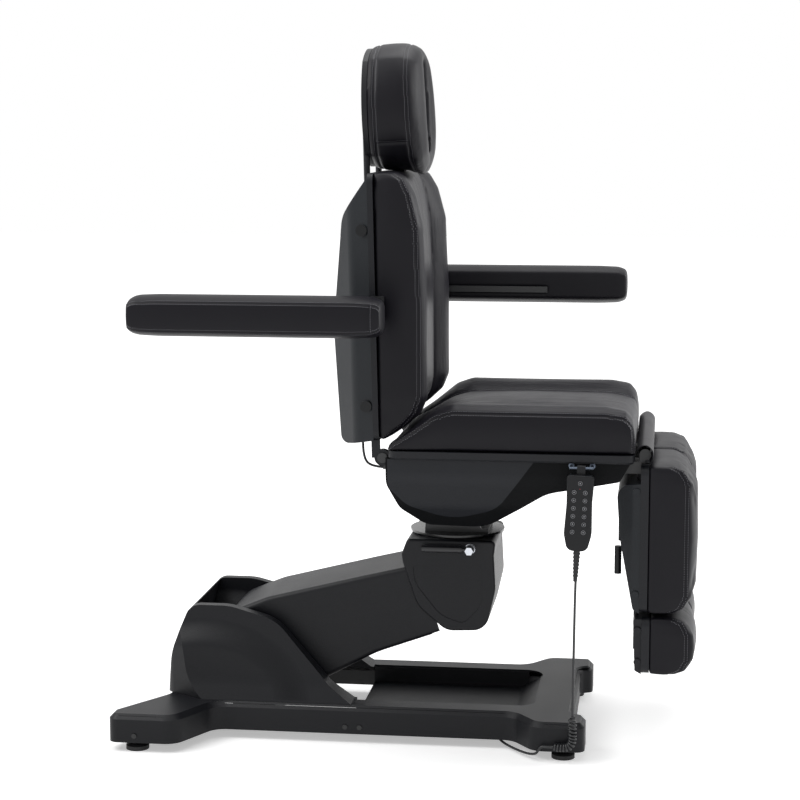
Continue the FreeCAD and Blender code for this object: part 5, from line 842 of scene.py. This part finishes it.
for side_name, side, forward in (("left", 1, 1), ("right", -1, -1)):
    rest_name = f"armrest_{side_name}"
    tail = REST_PIVOT_X - REST_TAIL * forward
    tip = tail + REST_LENGTH * forward
    middle_z = REST_PIVOT_Z + REST_RISE * forward
    upper, lower = [], []
    for step in range(REST_SECTIONS + 1):
        along = step / REST_SECTIONS
        share = eased(REST_SHARES, along)[0]
        x = tail + (tip - tail) * along
        wide = REST_WIDTH / 2 * (0.75 + share * 0.25) * side
        y = (REST_INNER + REST_WIDTH / 2) * side + wide * REST_SEAM_OUT
        upper.append(Vector((x, y, middle_z + REST_THICK / 2 * share * REST_SEAM_UP)))
        lower.append(Vector((x, y, middle_z - REST_THICK / 2 * share * REST_SEAM_UP)))
    flap_seam = [Vector((tail + REST_FLAP_IN * forward, (REST_INNER + REST_WIDTH - 0.001) * side,
                         middle_z + REST_THICK * (REST_FLAP_UP - 2 * REST_FLAP_UP * t)))
                 for t in QUARTERS]
    rest = soft_skin(f"{rest_name}_pad", f"{rest_name}_cushion", voxel=0.0055)
    rest_seams = [upper, lower, laid_on(surface_of(rest), flap_seam)]
    rest_tree = tree_of(rest_seams)
    stuff(rest, lambda p: (abs(p.y) < REST_INNER + REST_BOARD
                           or rest_tree.find(p)[2] < SMALL_SEWN_EDGE), cap=0.004)
    subdivided(rest)
    drawn_in(rest, rest_seams, depth=0.0020, width=0.0034)
    covered(rest, f"{rest_name}_pad", rest_name, cover_cloth)
    stitched(f"{rest_name}_stitches", rest, rest_name, rest_seams[:2],
             offsets=(-0.0040, 0.0040))
    stitched(f"{rest_name}_flap_stitches", rest, rest_name, rest_seams[2:], offsets=(0.0036,))


# ---- Leg and foot pads --------------------------------------------------------------------
# Upright pads, one pair for each leg: foam with a boxed edge, sewn along both sides where the
# boxing meets the crowned face.
# Each pad's lowest and highest place, its rear and its front
PADS = (("leg", 0.322, 0.636, 0.524, 0.626), ("foot", 0.190, 0.312, 0.530, 0.630))
# From a pad's end inwards: the share of the edge's depth, then of the depth and half width
PAD_SHARES = ((0.0, 0.55, 0.96), (0.25, 0.80, 0.985), (1.0, 0.97, 1.0))
PAD_GAP, PAD_HALF, PAD_SWELL = 0.003, 0.128, 0.0024
PAD_EDGE, PAD_SEAM_DEPTH = 0.35, 0.80  # shares of the depth
PAD_SECTIONS = 40
for part, low_z, high_z, rear_x, front_x in PADS:
    for side_name, side in (("left", 1), ("right", -1)):
        pad_name = f"{part}_{side_name}"
        middle = (PAD_GAP + PAD_HALF) * side
        deep = front_x - rear_x
        edge = deep * PAD_EDGE
        seams = [[], []]
        for step in range(PAD_SECTIONS + 1):
            z = low_z + (high_z - low_z) * step / PAD_SECTIONS
            from_end = min(z - low_z, high_z - z)
            depth_share, half_share = eased(PAD_SHARES, min(1.0, from_end / edge))
            x = rear_x + deep * depth_share * PAD_SEAM_DEPTH
            for line, way in zip(seams, (-1, 1)):
                line.append(Vector((x, middle + (PAD_HALF * half_share - PAD_SWELL) * way, z)))
        pad = soft_skin(f"{pad_name}_pad", f"{pad_name}_cushion", voxel=0.0055)
        pad_tree = tree_of(seams)
        stuff(pad, lambda p: (p.x < rear_x + SEWN_EDGE
                              or pad_tree.find(p)[2] < SMALL_SEWN_EDGE), cap=0.004)
        subdivided(pad)
        drawn_in(pad, seams, depth=0.0020, width=0.0034)
        covered(pad, f"{pad_name}_pad", pad_name, cover_cloth)
        stitched(f"{pad_name}_stitches", pad, pad_name, seams, offsets=(-0.0040, 0.0040))


# ---- Flap over the knee gap ---------------------------------------------------------------
# A strip of leathercloth that rolls from the seat's front edge over the leg hinges and tucks in
# below them; slits let the hinge straps through.
FLAP_HALF = 0.2584
FLAP_PROFILE = ((0.4960, 0.6685), (0.5000, 0.6738), (0.5060, 0.6790), (0.5131, 0.6818),
                (0.5205, 0.6800), (0.5270, 0.6750), (0.5310, 0.6690), (0.5318, 0.6610),
                (0.5310, 0.6530), (0.5285, 0.6468), (0.5248, 0.6418))
LEG_MIDDLE, STRAP_OUT = 0.131, 0.0448
STRAP_PLACES = tuple(side * (LEG_MIDDLE + STRAP_OUT * way) for side in (-1, 1) for way in (-1, 1))
SLIT_HALF = 0.0174
SLIT_ROWS = 3  # how many rows of the cloth a slit runs up from its lower edge
FLAP_STEP = 0.008
FLAP_THICKNESS = 0.0022
flap_data = bpy.data.meshes.new("knee_flap")
slit_edges = [place + SLIT_HALF * way for place in STRAP_PLACES for way in (-1, 1)]
stops = sorted(slit_edges + [-FLAP_HALF, FLAP_HALF])
across = []
for here, there in zip(stops, stops[1:]):
    count = max(1, round((there - here) / FLAP_STEP))
    across += [here + (there - here) * k / count for k in range(count)]
across.append(FLAP_HALF)
rows = len(FLAP_PROFILE)
corners = [Vector((x, y, z)) for y in across for x, z in FLAP_PROFILE]
faces = []
for column, (here, there) in enumerate(zip(across, across[1:])):
    slit = any(abs((here + there) / 2 - place) < SLIT_HALF for place in STRAP_PLACES)
    for row in range(rows - 1 - (SLIT_ROWS if slit else 0)):
        a = column * rows + row
        faces.append((a, a + 1, a + rows + 1, a + rows))
flap_data.from_pydata(corners, [], faces)
flap_data.materials.append(cover_cloth)
flap = placed("knee_flap", flap_data)
bpy.context.view_layer.objects.active = flap
wall = flap.modifiers.new("wall", "SOLIDIFY")
wall.thickness = FLAP_THICKNESS
wall.offset = 0.0
bpy.ops.object.modifier_apply(modifier=wall.name)
subdivided(flap)
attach(flap, "seat")
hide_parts("gap_flap")


# ---- Floor and studio light ---------------------------------------------------------------
# A white sweep that the camera sees as plain white, three large soft lamps and a dim even sky.
GLOW_NEAR, GLOW_FAR = (0.7, 0.42), (2.2, 1.0)  # metres from the middle, and the glow there
SKY_LIGHT = 0.30


def backdrop_white():
    """A white paper sweep that glows for the camera and in reflections, least under the chair."""
    made = bpy.data.materials.new("white_sweep")
    made.use_nodes = True
    tree = made.node_tree
    tree.nodes.clear()
    seen = add(made, "LightPath")
    either = add(made, "Math", {"operation": "MAXIMUM"}, _0=seen.outputs["Is Camera Ray"],
                 _1=seen.outputs["Is Glossy Ray"])
    every = add(made, "Math", {"operation": "MAXIMUM"}, _0=either.outputs["Value"],
                _1=seen.outputs["Is Transmission Ray"])
    place = add(made, "TexCoord").outputs["Object"]
    away = add(made, "VectorMath", {"operation": "LENGTH"}, Vector=place)
    far = add(made, "MapRange", Value=away.outputs["Value"], From_Min=GLOW_NEAR[0],
              From_Max=GLOW_FAR[0], To_Min=GLOW_NEAR[1], To_Max=GLOW_FAR[1])
    matt = add(made, "BsdfDiffuse", Color=linear("#f4f4f4"))
    glow = add(made, "Emission", Color=(1.0, 1.0, 1.0, 1.0), Strength=far.outputs["Result"])
    lit = add(made, "AddShader", None, _0=matt.outputs["BSDF"], _1=glow.outputs["Emission"])
    mixed = add(made, "MixShader", None, Fac=every.outputs["Value"], _1=matt.outputs["BSDF"],
                _2=lit.outputs["Shader"])
    add(made, "OutputMaterial", None, Surface=mixed.outputs["Shader"])
    return made


bpy.ops.object.select_all(action="DESELECT")
bpy.ops.mesh.primitive_plane_add(size=40.0, location=(0.0, 0.0, 0.0))
floor = bpy.context.object
floor.name = "studio_floor"
floor.data.materials.append(backdrop_white())

world = bpy.data.worlds.new("studio_sky")
bpy.context.scene.world = world
world.use_nodes = True
sky = world.node_tree
background = sky.nodes["Background"]
background.inputs["Color"].default_value = (1.0, 1.0, 1.0, 1.0)
seen = sky.nodes.new("ShaderNodeLightPath")
before = seen.outputs["Is Camera Ray"]
for ray in ("Is Glossy Ray", "Is Transmission Ray"):
    either = sky.nodes.new("ShaderNodeMath")
    either.operation = "MAXIMUM"
    sky.links.new(before, either.inputs[0])
    sky.links.new(seen.outputs[ray], either.inputs[1])
    before = either.outputs["Value"]
level = sky.nodes.new("ShaderNodeMapRange")
level.inputs["To Min"].default_value = SKY_LIGHT
level.inputs["To Max"].default_value = 1.0
sky.links.new(before, level.inputs["Value"])
sky.links.new(level.outputs["Result"], background.inputs["Strength"])

# Where each lamp stands, where it points, its size in metres and its power in watts
LAMPS = (("key_softbox", (-2.4, -1.0, 3.2), (0.0, 0.0, 0.7), 2.2, 78.0),
         ("top_softbox", (0.3, 0.3, 3.4), (0.0, 0.0, 0.7), 2.6, 52.0),
         ("rim_softbox", (2.8, 0.8, 2.0), (0.1, 0.0, 0.8), 1.8, 60.0))
for name, place, aim, size, power in LAMPS:
    facing = (Vector(aim) - Vector(place)).to_track_quat("-Z", "Y").to_euler()
    bpy.ops.object.light_add(type="AREA", location=place, rotation=facing)
    lamp = bpy.context.object
    lamp.name = name
    lamp.data.size = size
    lamp.data.energy = power

bpy.context.scene.view_settings.view_transform = "Standard"
